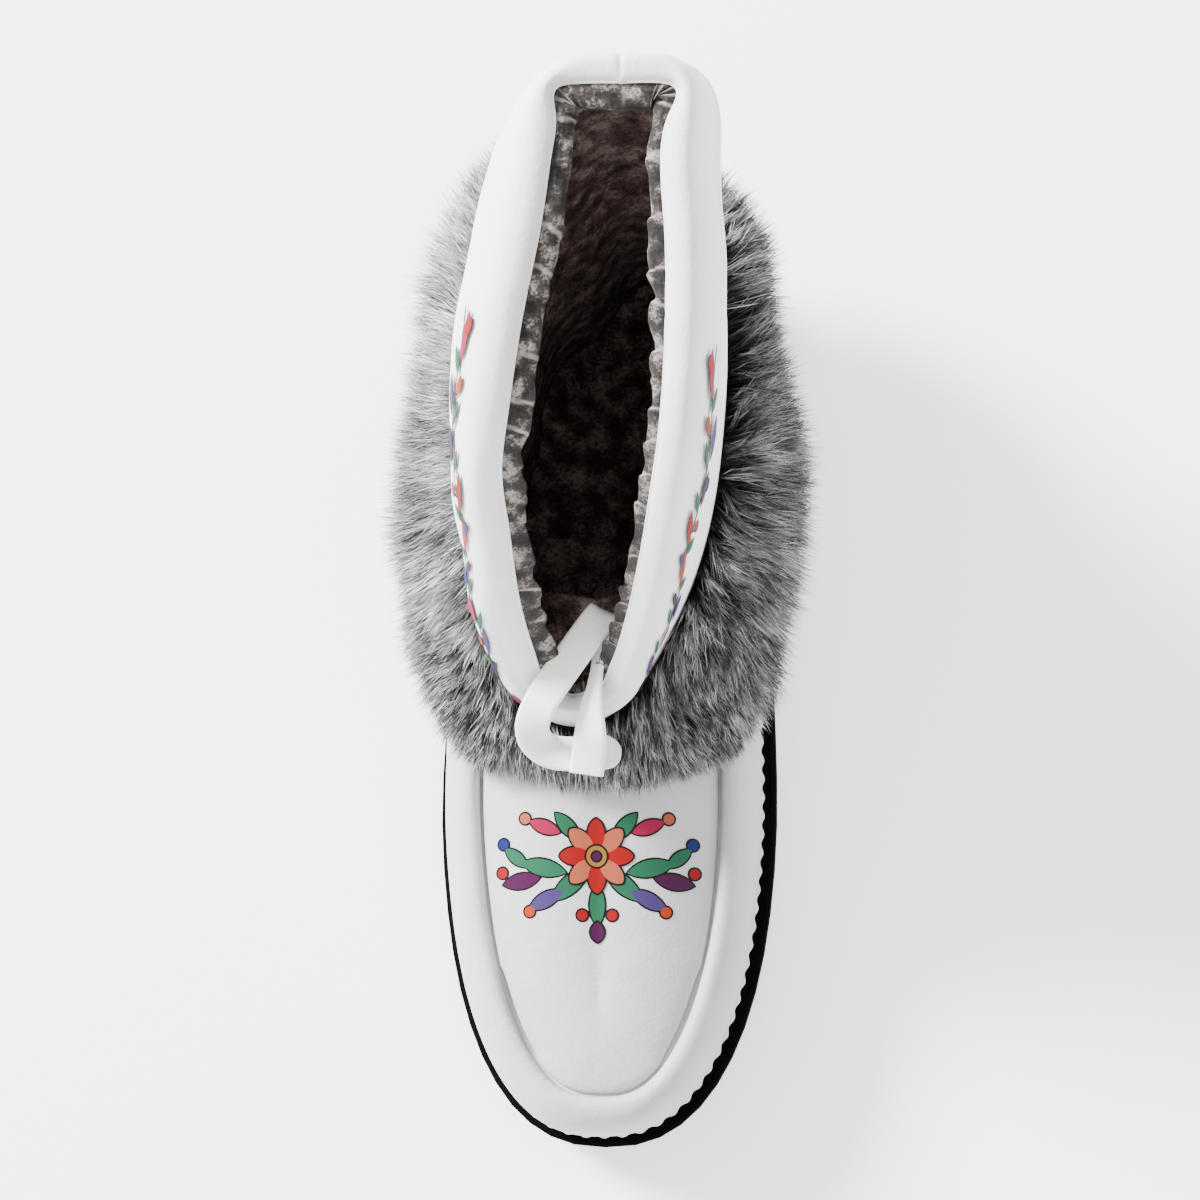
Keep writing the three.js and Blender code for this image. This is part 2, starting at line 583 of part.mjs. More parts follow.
const boot = new THREE.Group();
boot.add(piece('outsole', makeSole(), RUBBER));
boot.add(piece('welt', makeWelt(), WELT_WHITE));
boot.add(piece('upper', makeUpper(), LEATHER));
boot.add(piece('apron', makeApron(), LEATHER));
boot.add(piece('insole', makeInsole(), PLUSH));
boot.add(piece('fur_cuff', makeFur(), FUR_GREY));
for (const { name, stations, steps } of LACES) {
  boot.add(piece(name, strap(stations, LACE_WIDTH, LACE_THICK, steps), LACE_WHITE));
}

export default boot;
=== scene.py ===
# %% [markdown]
# A white mukluk boot, dressed for its portrait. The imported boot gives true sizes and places. This lesson
# adds what solids can't show: soft leather with its seams, thousands of hairs, a gathered plush hem, a
# felt lace and painted flowers. Lengths are worked in millimetres and turned to metres at the end.

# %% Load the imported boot
import math

import bpy
import numpy as np
from mathutils import Matrix, Vector
from mathutils.bvhtree import BVHTree
from mathutils.kdtree import KDTree


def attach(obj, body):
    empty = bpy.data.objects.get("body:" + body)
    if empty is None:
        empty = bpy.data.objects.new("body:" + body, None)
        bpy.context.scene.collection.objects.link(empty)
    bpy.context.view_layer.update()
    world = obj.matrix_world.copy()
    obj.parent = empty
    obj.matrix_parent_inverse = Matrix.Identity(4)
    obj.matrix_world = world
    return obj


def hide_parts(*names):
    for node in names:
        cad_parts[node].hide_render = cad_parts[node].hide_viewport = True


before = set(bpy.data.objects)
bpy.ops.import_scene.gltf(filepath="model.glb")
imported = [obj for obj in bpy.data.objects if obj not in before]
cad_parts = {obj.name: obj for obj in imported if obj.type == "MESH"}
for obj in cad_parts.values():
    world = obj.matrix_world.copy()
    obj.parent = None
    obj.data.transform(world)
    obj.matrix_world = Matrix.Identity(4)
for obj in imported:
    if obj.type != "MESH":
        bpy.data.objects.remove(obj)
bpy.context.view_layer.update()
bpy.ops.object.select_all(action="DESELECT")
MM = 0.001
print("solids:", sorted(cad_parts))

# %% [markdown]
# The camera looks almost straight down from a metre up, over the inner side of the ball of the foot. It
# leans a little towards the heel and turns to put this one boot in the middle of a square picture. A long
# lens keeps the tall collar from growing too large in front of the sole.

# %% Camera over the boot
CAMERA_PLACE = Vector((65.1, -99.4, 1000)) * MM
LEAN = math.radians(7.28)
FOCUS, ASIDE = 3130, 216  # photo pixels: the focal length, and from the boot to the picture's middle
ahead = Vector((-ASIDE, FOCUS * math.sin(LEAN), -FOCUS * math.cos(LEAN))).normalized()
right = ahead.cross(Vector((0, math.cos(LEAN), math.sin(LEAN)))).normalized()
above = right.cross(ahead)
lens = bpy.data.cameras.new("portrait_lens")
lens.lens = 93.9
lens.sensor_width = 36
lens.clip_end = 20
camera = bpy.data.objects.new("portrait_camera", lens)
axes = Matrix((right, above, -ahead)).transposed().to_4x4()
camera.matrix_world = Matrix.Translation(CAMERA_PLACE) @ axes
bpy.context.collection.objects.link(camera)
bpy.context.scene.camera = camera
print("camera leans", round(math.degrees(LEAN), 2), "degrees towards the heel")

# %% [markdown]
# Every finish below is a small tree of nodes that reads the piece's own Object coordinates. One function
# adds a node with its settings and links, and one turns a colour, written as sRGB hex, into the linear
# numbers that light is added up in. The last four say what most finishes need: a noise of some size in
# metres, a blend of two colours, paint by a ramp of colours, and relief of some depth in metres.

# %% Colour and node helpers
def linear(hex_code):
    parts = [int(hex_code[i:i + 2], 16) / 255 for i in (1, 3, 5)]
    return [c / 12.92 if c <= 0.04045 else ((c + 0.055) / 1.055) ** 2.4 for c in parts] + [1.0]


def node(tree, kind, sockets=None, **settings):
    made = tree.nodes.new("ShaderNode" + kind)
    for name, value in settings.items():
        setattr(made, name, value)
    for socket, value in (sockets or {}).items():
        if isinstance(value, bpy.types.NodeSocket):
            tree.links.new(value, made.inputs[socket])
        else:
            made.inputs[socket].default_value = value
    return made


def finish(name, **sockets):
    made = bpy.data.materials.new(name)
    made.use_nodes = True
    tree = made.node_tree
    shader = tree.nodes["Principled BSDF"]
    for socket, value in sockets.items():
        shader.inputs[socket.replace("_", " ")].default_value = value
    place = node(tree, "TexCoord").outputs["Object"]
    return made, tree, shader, place


def ramp(tree, factor, stops):
    made = node(tree, "ValToRGB", {"Fac": factor})
    bar = made.color_ramp.elements
    bar[0].position, bar[0].color = stops[0][0], linear(stops[0][1])
    bar[1].position, bar[1].color = stops[-1][0], linear(stops[-1][1])
    for position, colour in stops[1:-1]:
        bar.new(position).color = linear(colour)
    return made.outputs["Color"]


def noise(tree, place, size, detail, **more):
    sockets = {"Vector": place, "Scale": 1 / size, "Detail": detail}
    sockets.update({name.title(): value for name, value in more.items()})
    return node(tree, "TexNoise", sockets).outputs["Fac"]


def blend(tree, factor, first, second):
    sockets = {"Factor": factor, "A": first, "B": second}
    return node(tree, "Mix", sockets, data_type="RGBA").outputs["Result"]


def paint(tree, shader, factor, stops):
    tree.links.new(ramp(tree, factor, stops), shader.inputs["Base Color"])


def relief(tree, shader, height, strength, depth, **more):
    bump = node(tree, "Bump", {"Height": height, "Strength": strength, "Distance": depth, **more})
    tree.links.new(bump.outputs["Normal"], shader.inputs["Normal"])
    return bump.outputs["Normal"]


print("a middle grey is", round(linear("#808080")[0], 3), "in linear light")

# %% [markdown]
# The foot and shaft are tanned hide, dyed white and lightly milled. Milling leaves a fine pebble about a
# millimetre across and soft cloudy tone. Cells of that pitch and finer pores drive the bump, a wide noise
# tints the colour by a shade, and slow creases lie under both. The one white leather is made twice, and the
# foot's copy is painted a shade darker than the shaft's, as painted shade.

# %% Milled white leather
CLOUD_SIZE, CREASE_SIZE, PEBBLE_SIZE, PORE_SIZE = 0.018, 0.009, 0.0011, 0.0006


def milled_leather(name, pale, shade, roughness):
    made, tree, shader, place = finish(name, Roughness=roughness, IOR=1.46, Specular_IOR_Level=0.4)
    paint(tree, shader, noise(tree, place, CLOUD_SIZE, 4.0), [(0.3, shade), (0.62, pale)])
    pebble = node(tree, "TexVoronoi", {"Vector": place, "Scale": 1 / PEBBLE_SIZE}, feature="SMOOTH_F1")
    pores = noise(tree, place, PORE_SIZE, 3.0)
    both = node(tree, "Math", {0: pebble.outputs["Distance"], 1: pores}, operation="ADD").outputs[0]
    grain = relief(tree, shader, both, 0.22, 0.00035)
    creases = noise(tree, place, CREASE_SIZE, 5.0, distortion=0.8)
    relief(tree, shader, creases, 0.16, 0.0022, Normal=grain)
    return made


# The foot's copy of the white leather is painted darker than the shaft's: painted shade.
FOOT_LEATHER_SHADED = milled_leather("milled_leather_shaded_for_foot", "#BFC0C0", "#B8B9B9", 0.6)
SHAFT_LEATHER = milled_leather("milled_shaft_leather", "#EDEEEE", "#E7E8E8", 0.58)
print("leather pebble", PEBBLE_SIZE / MM, "mm, pores", PORE_SIZE / MM, "mm")

# %% [markdown]
# The sole is vulcanised rubber, black from its carbon filler. It has a dull skin with a trace of mould
# texture, so the bump is slight, the roughness high and the shine low. The edging strip is a smooth white
# split.

# %% Rubber sole and edging
RUBBER, tree, shader, place = finish("vulcanised_rubber", Roughness=0.75, IOR=1.4, Specular_IOR_Level=0.05)
paint(tree, shader, noise(tree, place, 0.03, 3.0), [(0.35, "#020202"), (0.7, "#050505")])
relief(tree, shader, noise(tree, place, 0.0012, 4.0), 0.25, 0.0003)

EDGING, tree, shader, place = finish("white_split_edging", Roughness=0.42, IOR=1.48)
wear = noise(tree, place, 0.004, 3.0)
paint(tree, shader, wear, [(0.3, "#E8E8E6"), (0.6, "#F6F6F5")])
relief(tree, shader, wear, 0.2, 0.0002)
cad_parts["outsole"].material_slots[0].material = RUBBER
print("sole and edging finished")

# %% [markdown]
# Plush is knitted pile. Seen into its depth it goes dark, and its tips catch a soft rim of light, which is
# what the shader's sheen gives. Small curls of pile about a millimetre across are drawn by noise, in colour
# and in bump. Little light reaches the bottom of the boot, so the pile is darkened towards it. The footbed
# and lining are a dark brown, and the hem's pile is a warm grey with a painted highlight along its creases.

# %% Plush pile
DIM_BELOW, FULL_ABOVE, DIM_SHARE = 0.034, 0.12, 0.62
LINING_CURL, HEM_CURL = 0.0012, 0.0009


def plush(name, deep, mid, tip, curl):
    made, tree, shader, place = finish(name, Roughness=1.0, Sheen_Weight=0.06, Sheen_Roughness=0.6)
    curls = noise(tree, place, curl, 6.0, roughness=0.75)
    patch = noise(tree, place, 5 * curl, 2.0, roughness=0.3)
    mixed = node(tree, "Math", {0: curls, 1: patch}, operation="MULTIPLY").outputs[0]
    pile = ramp(tree, mixed, [(0.17, deep), (0.26, mid), (0.38, tip)])
    height = node(tree, "SeparateXYZ", {"Vector": place}).outputs["Z"]
    limits = {"From Min": DIM_BELOW, "From Max": FULL_ABOVE, "To Min": DIM_SHARE}
    lit = node(tree, "MapRange", {"Value": height, **limits}).outputs[0]
    pile = blend(tree, lit, linear("#120A0A"), pile)
    tree.links.new(pile, shader.inputs["Base Color"])
    relief(tree, shader, curls, 0.8, 0.0016)
    return made, tree, shader, pile


LINING, tree, shader, pile = plush("dark_plush", "#452F2C", "#846C67", "#CDB5AF", LINING_CURL)
HEM, tree, shader, pile = plush("grey_plush", "#0E0A09", "#3A332F", "#A8A19B", HEM_CURL)
# The pale blend along the hem's creases is a painted highlight.
crease_highlight = node(tree, "Attribute", attribute_name="crease_highlight").outputs["Fac"]
tree.links.new(blend(tree, crease_highlight, pile, linear("#D0CBC6")), shader.inputs["Base Color"])
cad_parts["insole"].material_slots[0].material = LINING
print("plush curls", LINING_CURL / MM, "mm inside,", HEM_CURL / MM, "mm in the hem")

# %% [markdown]
# Hair carries its colour as an attribute that each strand is given when it is planted. The hide under it
# is nearly black in its depth. The lace is wool felt, soft and almost white, with a short fuzz. The
# flowers are printed ink, which lies on the leather as a thin dull film.

# %% Hair, hide, felt and ink
HAIR, tree, shader, place = finish("fur_hair", Roughness=0.62, IOR=1.5, Specular_IOR_Level=0.3)
tone = node(tree, "Attribute", attribute_name="hair_tone")
tree.links.new(tone.outputs["Color"], shader.inputs["Base Color"])

HIDE, tree, shader, place = finish("fur_hide", Roughness=0.95)
mottle = noise(tree, place, 0.006, 5.0)
paint(tree, shader, mottle, [(0.35, "#0A0A0A"), (0.65, "#262626")])
relief(tree, shader, mottle, 0.6, 0.002)

FELT, tree, shader, place = finish("wool_felt", Roughness=0.9, Sheen_Weight=0.2)
fuzz = noise(tree, place, 0.0009, 6.0, roughness=0.75)
paint(tree, shader, fuzz, [(0.3, "#F4F4F1"), (0.6, "#FFFFFD")])
relief(tree, shader, fuzz, 0.4, 0.0005)

INK, tree, shader, place = finish("printed_ink", Roughness=0.6, Specular_IOR_Level=0.2)
colour = node(tree, "Attribute", attribute_name="ink")
tree.links.new(colour.outputs["Color"], shader.inputs["Base Color"])
relief(tree, shader, noise(tree, place, 0.0011, 3.0), 0.15, 0.0002)
print("hair, felt and ink finished")

# %% [markdown]
# The boot's form comes from the same last that its solids were built on: a few named sections from the toe
# to the heel, read smoothly in between. The sole's edge is a round toe, a straight waist and a round heel.
# Everything on the foot lies at some inset from that edge and at some share of the height to the seam.

# %% The last
SOLE_LENGTH, TOE_ROUND, HEEL_ROUND = 290, 115, 50
TOE_SPRING, SPRING_START = 8, 78
WELT_THICK, GAP = 1.8, 0.35
LAST = {
    "away": [0, 40, 75, 110, 140, 175, 215, 250, 290],
    "half": [53, 53, 53, 53, 51.5, 47.5, 42.5, 40, 39],
    "swing": [0, 0, 0, 0, 0.5, 2.2, 5, 7.5, 9],
    "sole": [15, 15.5, 16, 17, 18.5, 21, 23.5, 24, 24],
    "seam": [50, 50, 52, 58, 70, 84, 88, 88, 88],
    "ridge": [50, 53, 60, 73, 90, 106, 108, 108, 108],
}


TUCK = 1.4
TURN_STEP = 0.02
ROUND_TOE, ROUND_HEEL = 2.4, 2.3


def lerp(a, b, t):
    return a + (b - a) * t


def ease(t):
    """Smooth step from 0 to 1."""
    return t * t * (3 - 2 * t)


def bell(x, middle, width):
    """Bump of height 1 round the middle."""
    return np.exp(-((x - middle) / width) ** 2)


def unit(vectors):
    return vectors / np.linalg.norm(vectors, axis=-1, keepdims=True)


def run_along(line):
    """Length along a line of points, from its first point to each."""
    return np.concatenate([[0], np.cumsum(np.linalg.norm(np.diff(line, axis=0), axis=1))])


def read(table, along, name, place):
    xs, ys = np.array(table[along], float), np.array(table[name], float)
    place = np.clip(np.asarray(place, float), xs[0], xs[-1])
    i = np.clip(np.searchsorted(xs, place, "right") - 1, 0, len(xs) - 2)
    before, after = np.maximum(i - 1, 0), np.minimum(i + 2, len(xs) - 1)
    span = xs[i + 1] - xs[i]
    t = (place - xs[i]) / span
    leave = (ys[i + 1] - ys[before]) / (xs[i + 1] - xs[before]) * span
    arrive = (ys[after] - ys[i]) / (xs[after] - xs[i]) * span
    a, b = ys[i], ys[i + 1]
    return (((2 * a - 2 * b + leave + arrive) * t - 3 * a + 3 * b - 2 * leave - arrive) * t + leave) * t + a


def last(name, y):
    return read(LAST, "away", name, y + SOLE_LENGTH / 2)


def round_end(share, power):
    return (1 - (1 - np.clip(share, 0, 1)) ** power) ** (1 / power)


def edge(angle):
    away = SOLE_LENGTH * (1 - np.cos(angle)) / 2
    half = read(LAST, "away", "half", away) * round_end(away / TOE_ROUND, ROUND_TOE)
    half = half * round_end((SOLE_LENGTH - away) / HEEL_ROUND, ROUND_HEEL)
    across = read(LAST, "away", "swing", away) + np.sign(np.sin(angle)) * half
    return np.stack([across, away - SOLE_LENGTH / 2], -1)


def tuck(angle):
    """How much further in the upper stands on the inner side of the foot."""
    return TUCK * ease(np.clip((np.sin(angle) + 0.35) / 0.9, 0, 1))


def outline(angle, inset):
    way = unit(edge(angle + TURN_STEP) - edge(angle - TURN_STEP))
    return edge(angle) + np.stack([-way[..., 1], way[..., 0]], -1) * np.asarray(inset)[..., None]


def sole_top(y):
    free = np.maximum(0, SPRING_START - (y + SOLE_LENGTH / 2)) / SPRING_START
    return TOE_SPRING * free ** 2 + last("sole", y)


def feather(y):
    return sole_top(y) + WELT_THICK + 2 * GAP


print("ball is", round(float(outline(np.array(1.35), 0)[0] * 2)), "mm wide")

# %% [markdown]
# Soft goods are skinned from a grid of points: rows run round the boot and columns run up it. One helper
# joins such a grid into faces. It wraps round where the piece is a ring, and it wraps from the last row to
# the first where the piece is a wall with two sides, so that the skin has no open edge.

# %% Skin a grid of points
def skin_grid(points, around=True, over=False):
    rows, count = points.shape[:2]
    index = np.arange(rows * count).reshape(rows, count)
    if around:
        index = np.concatenate([index, index[:, :1]], 1)
    if over:
        index = np.concatenate([index, index[:1]], 0)
    quads = np.stack([index[:-1, :-1], index[:-1, 1:], index[1:, 1:], index[1:, :-1]], -1).reshape(-1, 4)
    return points.reshape(-1, 3), quads


def make_piece(name, points, faces, material, smooth=True):
    mesh = bpy.data.meshes.new(name)
    points = np.asarray(points, float) * MM
    faces = np.asarray(faces)
    size = faces.shape[1]
    mesh.vertices.add(len(points))
    mesh.vertices.foreach_set("co", points.ravel())
    mesh.loops.add(faces.size)
    mesh.loops.foreach_set("vertex_index", faces.ravel())
    mesh.polygons.add(len(faces))
    mesh.polygons.foreach_set("loop_start", np.arange(0, faces.size, size))
    mesh.polygons.foreach_set("use_smooth", np.full(len(faces), smooth))
    mesh.update(calc_edges=True)
    mesh.materials.append(material)
    piece = bpy.data.objects.new(name, mesh)
    bpy.context.collection.objects.link(piece)
    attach(piece, "root")
    return piece


def face_out(piece, up=False):
    """Merge doubled points and turn the faces outwards, or upwards on an open sheet."""
    bpy.ops.object.select_all(action="DESELECT")
    bpy.context.view_layer.objects.active = piece
    piece.select_set(True)
    bpy.ops.object.mode_set(mode="EDIT")
    bpy.ops.mesh.select_all(action="SELECT")
    bpy.ops.mesh.remove_doubles(threshold=0.00001)
    bpy.ops.mesh.normals_make_consistent(inside=False)
    bpy.ops.object.mode_set(mode="OBJECT")
    if up and sum(p.normal.z * p.area for p in piece.data.polygons) < 0:
        piece.data.flip_normals()
    piece.select_set(False)
    print(piece.name, len(piece.data.polygons), "faces")


def rows_through(rows, steps):
    """Extra rows between the given ones, on a smooth curve through them."""
    rows = np.asarray(rows, float)
    at = np.linspace(0, len(rows) - 1, (len(rows) - 1) * steps + 1)
    i = np.minimum(at.astype(int), len(rows) - 2)
    t = (at - i)[(...,) + (None,) * (rows.ndim - 1)]
    p0, p1 = rows[np.maximum(i - 1, 0)], rows[i]
    p2, p3 = rows[i + 1], rows[np.minimum(i + 2, len(rows) - 1)]
    return 0.5 * (2 * p1 + (p2 - p0) * t + (2 * p0 - 5 * p1 + 4 * p2 - p3) * t ** 2
                  + (3 * p1 - p0 - 3 * p2 + p3) * t ** 3)


def thicken(piece, name, thickness, offset):
    """Give a sheet a thickness in millimetres."""
    layer = piece.modifiers.new(name, "SOLIDIFY")
    layer.thickness = thickness * MM
    layer.offset = offset
    bpy.context.view_layer.objects.active = piece
    bpy.ops.object.modifier_apply(modifier=name)


def mark_points(piece, name, kind, field, values):
    """Keep a number or colour with each point, for a finish to read."""
    mark = piece.data.attributes.new(name, kind, "POINT")
    mark.data.foreach_set(field, np.asarray(values).ravel())


print("grid helpers ready")

# %% [markdown]
# Soft leather is never perfectly even. A smooth noise that is the same on every run gives slow swells to
# the wall of the foot and to the shaft. It blends random values at the corners of a lattice.

# %% Smooth repeatable noise
LATTICE = 32


def swell(points, pitch, seed):
    table = np.random.default_rng(seed).random((LATTICE,) * 3)
    p = np.asarray(points, float) / pitch
    base = np.floor(p).astype(int)
    f = ease(p - base)
    total = 0
    for dx in (0, 1):
        for dy in (0, 1):
            for dz in (0, 1):
                share = (np.where(dx, f[..., 0], 1 - f[..., 0]) * np.where(dy, f[..., 1], 1 - f[..., 1])
                         * np.where(dz, f[..., 2], 1 - f[..., 2]))
                corner = (base + [dx, dy, dz]) % LATTICE
                total = total + share * table[corner[..., 0], corner[..., 1], corner[..., 2]]
    return total * 2 - 1


print("swell at the origin:", round(float(swell(np.zeros((1, 3)), 10, 1)[0]), 3))

# %% [markdown]
# The shaft is a padded tube that leans open. Its rim is a closed curve that climbs from the throat over
# both ankles to the back, given as a few stations along the shaft's axis with the rim's half breadth on
# each side. A little skew squares the rim's back. The wall bellies out under the rim, and rolls over it to
# a soft lip inside.

# %% Stations of the collar
COLLAR = {
    "along": [-2, -1.2, 3.6, 20, 42, 65, 86, 102, 116, 131, 142, 149.5, 154],
    "skew": [0, 1.6, 2.4, 0, 0, 0, 0, 0, 0, 0, 0, 0, 0],
    "top": [226, 226, 225.5, 224, 221.5, 216, 206, 190, 170, 146, 124, 106, 94],
    "outer": [0, 11.5, 18, 19.3, 19.5, 21.2, 22.3, 23.4, 21, 18.2, 14.6, 10.6, 0],
    "inner": [0, 11.5, 17, 18.6, 23, 26, 27.2, 26.2, 24.5, 21.4, 17.4, 12.2, 0],
    "outer_lean": [6.5, 6.5, 7.5, 12, 14.5, 14.4, 13, 10.6, 10.3, 9.7, 7.8, 6, 4],
    "inner_lean": [6.5, 6.5, 7, 9.5, 9.8, 9.5, 9, 8.8, 7.8, 6.2, 5.2, 4.6, 4],
}
SHAFT_BACK = np.array([14.9, 136.5])
SHAFT_TURN = math.radians(8.2)
BELLY_DROP, THROAT_DROP, SHAFT_BASE, COLLAR_WALL = 26, 10, 58, 5.5
BASE_MIDDLE, BASE_HALF, BASE_BREADTH, BASE_POWER = 77, 72, 33, 2.2
LIP_IN, LIP_OPENS = 4.6, 2.6
CORNER = 20  # from the back seam along the rim to each back corner


def on_shaft(along, across):
    s, c = math.sin(SHAFT_TURN), math.cos(SHAFT_TURN)
    return np.stack([SHAFT_BACK[0] - along * s + across * c, SHAFT_BACK[1] - along * c - across * s], -1)


def closed_curve(stations, place):
    """Smooth closed curve through the stations, at places counted in stations."""
    i = np.floor(place).astype(int)
    t = (place - i)[:, None]
    p = [stations[(i + k) % len(stations)] for k in (-1, 0, 1, 2)]
    d = [np.maximum(np.sum((p[k + 1] - p[k]) ** 2, -1), 1e-9)[:, None] ** 0.25 for k in range(3)]
    leave = ((p[1] - p[0]) / d[0] - (p[2] - p[0]) / (d[0] + d[1]) + (p[2] - p[1]) / d[1]) * d[1]
    arrive = ((p[2] - p[1]) / d[1] - (p[3] - p[1]) / (d[1] + d[2]) + (p[3] - p[2]) / d[2]) * d[1]
    cube = 2 * p[1] - 2 * p[2] + leave + arrive
    square = -3 * p[1] + 3 * p[2] - 2 * leave - arrive
    return ((cube * t + square) * t + leave) * t + p[1]


along, skew = np.array(COLLAR["along"], float), np.array(COLLAR["skew"], float)
outer_side = np.stack([along + skew, -np.array(COLLAR["outer"]), COLLAR["top"], COLLAR["outer_lean"]], -1)
inner_side = np.stack([along - skew, COLLAR["inner"], COLLAR["top"], COLLAR["inner_lean"]], -1)[-2:0:-1]
stations = np.concatenate([outer_side, inner_side]).astype(float)
HALF = len(outer_side) - 1
print(len(stations), "stations round the rim")

# %% [markdown]
# A column of the shaft is named by how far round it lies: 0 at the back seam, 1 at the throat, up the
# inner side to 2 at the back again. The columns crowd together at the back, so that the pressed seam there
# has crisp sides.

# %% Columns and rings of the shaft
def shaft_columns(turns):
    place = np.asarray(turns) * HALF
    rim = closed_curve(stations[:, :3], place)
    ahead_of = closed_curve(stations[:, :3], place + 0.01)
    behind = closed_curve(stations[:, :3], place - 0.01)
    way = unit((ahead_of - behind)[:, :2])
    lean = closed_curve(np.repeat(stations[:, 3:], 3, 1) * [1, 0, 0], place)[:, 0]
    angle = math.pi * np.asarray(turns)
    oval = lambda v: np.sign(v) * np.abs(v) ** (2 / BASE_POWER)
    base = on_shaft(BASE_MIDDLE - BASE_HALF * oval(np.cos(angle)), -BASE_BREADTH * oval(np.sin(angle)))
    drop = lerp(BELLY_DROP, THROAT_DROP, ease(np.clip((rim[:, 0] - 110) / 40, 0, 1)))
    out = np.stack([way[:, 1], -way[:, 0]], -1)
    return {"rim": rim, "out": out, "lean": lean, "base": base, "drop": drop}


def shaft_ring(c, stand, drop):
    flat = on_shaft(c["rim"][:, 0] + c["out"][:, 0] * stand, c["rim"][:, 1] + c["out"][:, 1] * stand)
    return np.concatenate([flat, (c["rim"][:, 2] - drop)[:, None]], 1)


def wall_ring(c, share, inset):
    belly = shaft_ring(c, c["lean"] - inset, c["drop"])
    base = c["base"] - shaft_middle
    reach = np.linalg.norm(base, axis=1, keepdims=True)
    base = base * (reach - np.reshape(inset, (-1, 1))) / reach + shaft_middle
    return lerp(np.concatenate([base, np.full((len(base), 1), SHAFT_BASE)], 1), belly, share)


def out_of_wall(c):
    """The way out of the shaft's wall at each column, in the boot's own axes."""
    return on_shaft(c["out"][:, 0], c["out"][:, 1]) - on_shaft(np.array(0.0), np.array(0.0))


shaft_middle = on_shaft(np.array(BASE_MIDDLE), np.array(0))
seam_crowd = np.array([-0.024, -0.016, -0.010, -0.006, -0.003, 0.0, 0.003, 0.006, 0.010, 0.016, 0.024])
turns = np.concatenate([seam_crowd[5:], np.linspace(0.034, 1.966, 278), 2 + seam_crowd[:5]])
columns = shaft_columns(turns)
print(len(turns), "columns round the shaft")

# %% [markdown]
# The moccasin's wall rises from the sole, puffs out and rolls over to the seam, where it turns down under
# the apron. It is one hide about 2 mm thick, so the skin goes up the outside and comes back down the
# inside. The roll swells and dips a little, as it does where stitches gather it round the toe.

# %% Wall of the foot
WALL_SIDE = {
    "inset": [6.6, 3.9, 3.6, 3.4, 4.2, 6.4, 9.7, 13, 15.3, 16.3, 16.8, 20.5, 20.5, 15, 9.5, 6.8, 6.4, 6.6],
    "rise": [-0.02, -0.02, 0.06, 0.28, 0.56, 0.79, 0.94, 1, 0.985,
             0.935, 0.885, 0.87, 0.84, 0.9, 0.78, 0.5, 0.2, 0.0],
    "tuck": [0.5, 1, 1, 1, 1, 0.8, 0.5, 0.2, 0, 0, 0, 0, 0, 0, 0, 0, 0, 0.2],
}
ROUND = 320
STITCHES = 92
foot_angles = np.linspace(0, 2 * math.pi, ROUND, endpoint=False)


def foot_row(inset, rise, angles=foot_angles, tucked=0.0):
    flat = outline(angles, inset + tucked * tuck(angles))
    return np.concatenate([flat, lerp(feather(flat[:, 1]), last("seam", flat[:, 1]), rise)[:, None]], 1)


base_ring = wall_ring(columns, 0, 2.0)[:, :2] - shaft_middle
base_angle = np.arctan2(base_ring[:, 1], base_ring[:, 0])
order = np.argsort(base_angle)


def outside_shaft(points):
    """Move what would stand inside the shaft out to the middle of its wall."""
    flat = points[..., :2] - shaft_middle
    far = np.linalg.norm(flat, axis=-1)
    wall_far = np.interp(np.arctan2(flat[..., 1], flat[..., 0]), base_angle[order],
                         np.linalg.norm(base_ring, axis=1)[order], period=2 * math.pi)
    push = np.where((far < wall_far) & (points[..., 2] > 46), wall_far / np.maximum(far, 1), 1)
    moved = points.copy()
    moved[..., :2] = flat * push[..., None] + shaft_middle
    return moved


wall_side = zip(WALL_SIDE["inset"], WALL_SIDE["rise"], WALL_SIDE["tuck"])
wall = rows_through([foot_row(inset, rise, tucked=share) for inset, rise, share in wall_side], 4)
row_at = np.arange(len(wall)) / 4
roll = bell(row_at, 6, 2.2)[:, None, None]
wall = wall + roll * swell(wall, 17, 3)[..., None] * [0, 0, 0.45]
gather = 0.16 * np.sin(np.arange(ROUND) * 2 * math.pi * STITCHES / ROUND)
wall[..., 2] += gather * bell(row_at, 8.6, 0.8)[:, None]
wall = outside_shaft(wall)
foot_wall = make_piece("foot_wall", *skin_grid(wall, over=True), FOOT_LEATHER_SHADED)
face_out(foot_wall)
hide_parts("upper")

# %% [markdown]
# The apron is the flat plug of hide let into the top of the foot. Its edge is turned down into the seam
# and its middle lifts in a low crown towards the instep. Nested rows run from the seam to the ridge of the
# foot, and the part under the shaft and the fur is left off. The middle is smoothed, so that no line shows
# where the rows meet.

# %% Apron
APRON_SIDE, APRON_BACK, APRON_THICK = 2.0, -14, 1.1
SOFT_HALF, SOFT_FRONT = 30, -118
apron_angles = np.linspace(-APRON_SIDE, APRON_SIDE, 241)
seam_line = foot_row(17.3, 0.962, apron_angles)


def ridge(angles, under=0.0):
    """Top of the foot, from 48 to 240 mm behind the toe."""
    y = lerp(48, 240, (1 - np.cos(angles)) / 2) - SOLE_LENGTH / 2
    return np.stack([last("swing", y), y, last("ridge", y) - under], -1)


def crowned(low, high, share, sink=0.0):
    """A row between two, which climbs steeply at first and comes in level."""
    row = lerp(low, high, share)
    row[:, 2] = lerp(low[:, 2], high[:, 2], 1 - (1 - share) ** 2) - sink
    return row


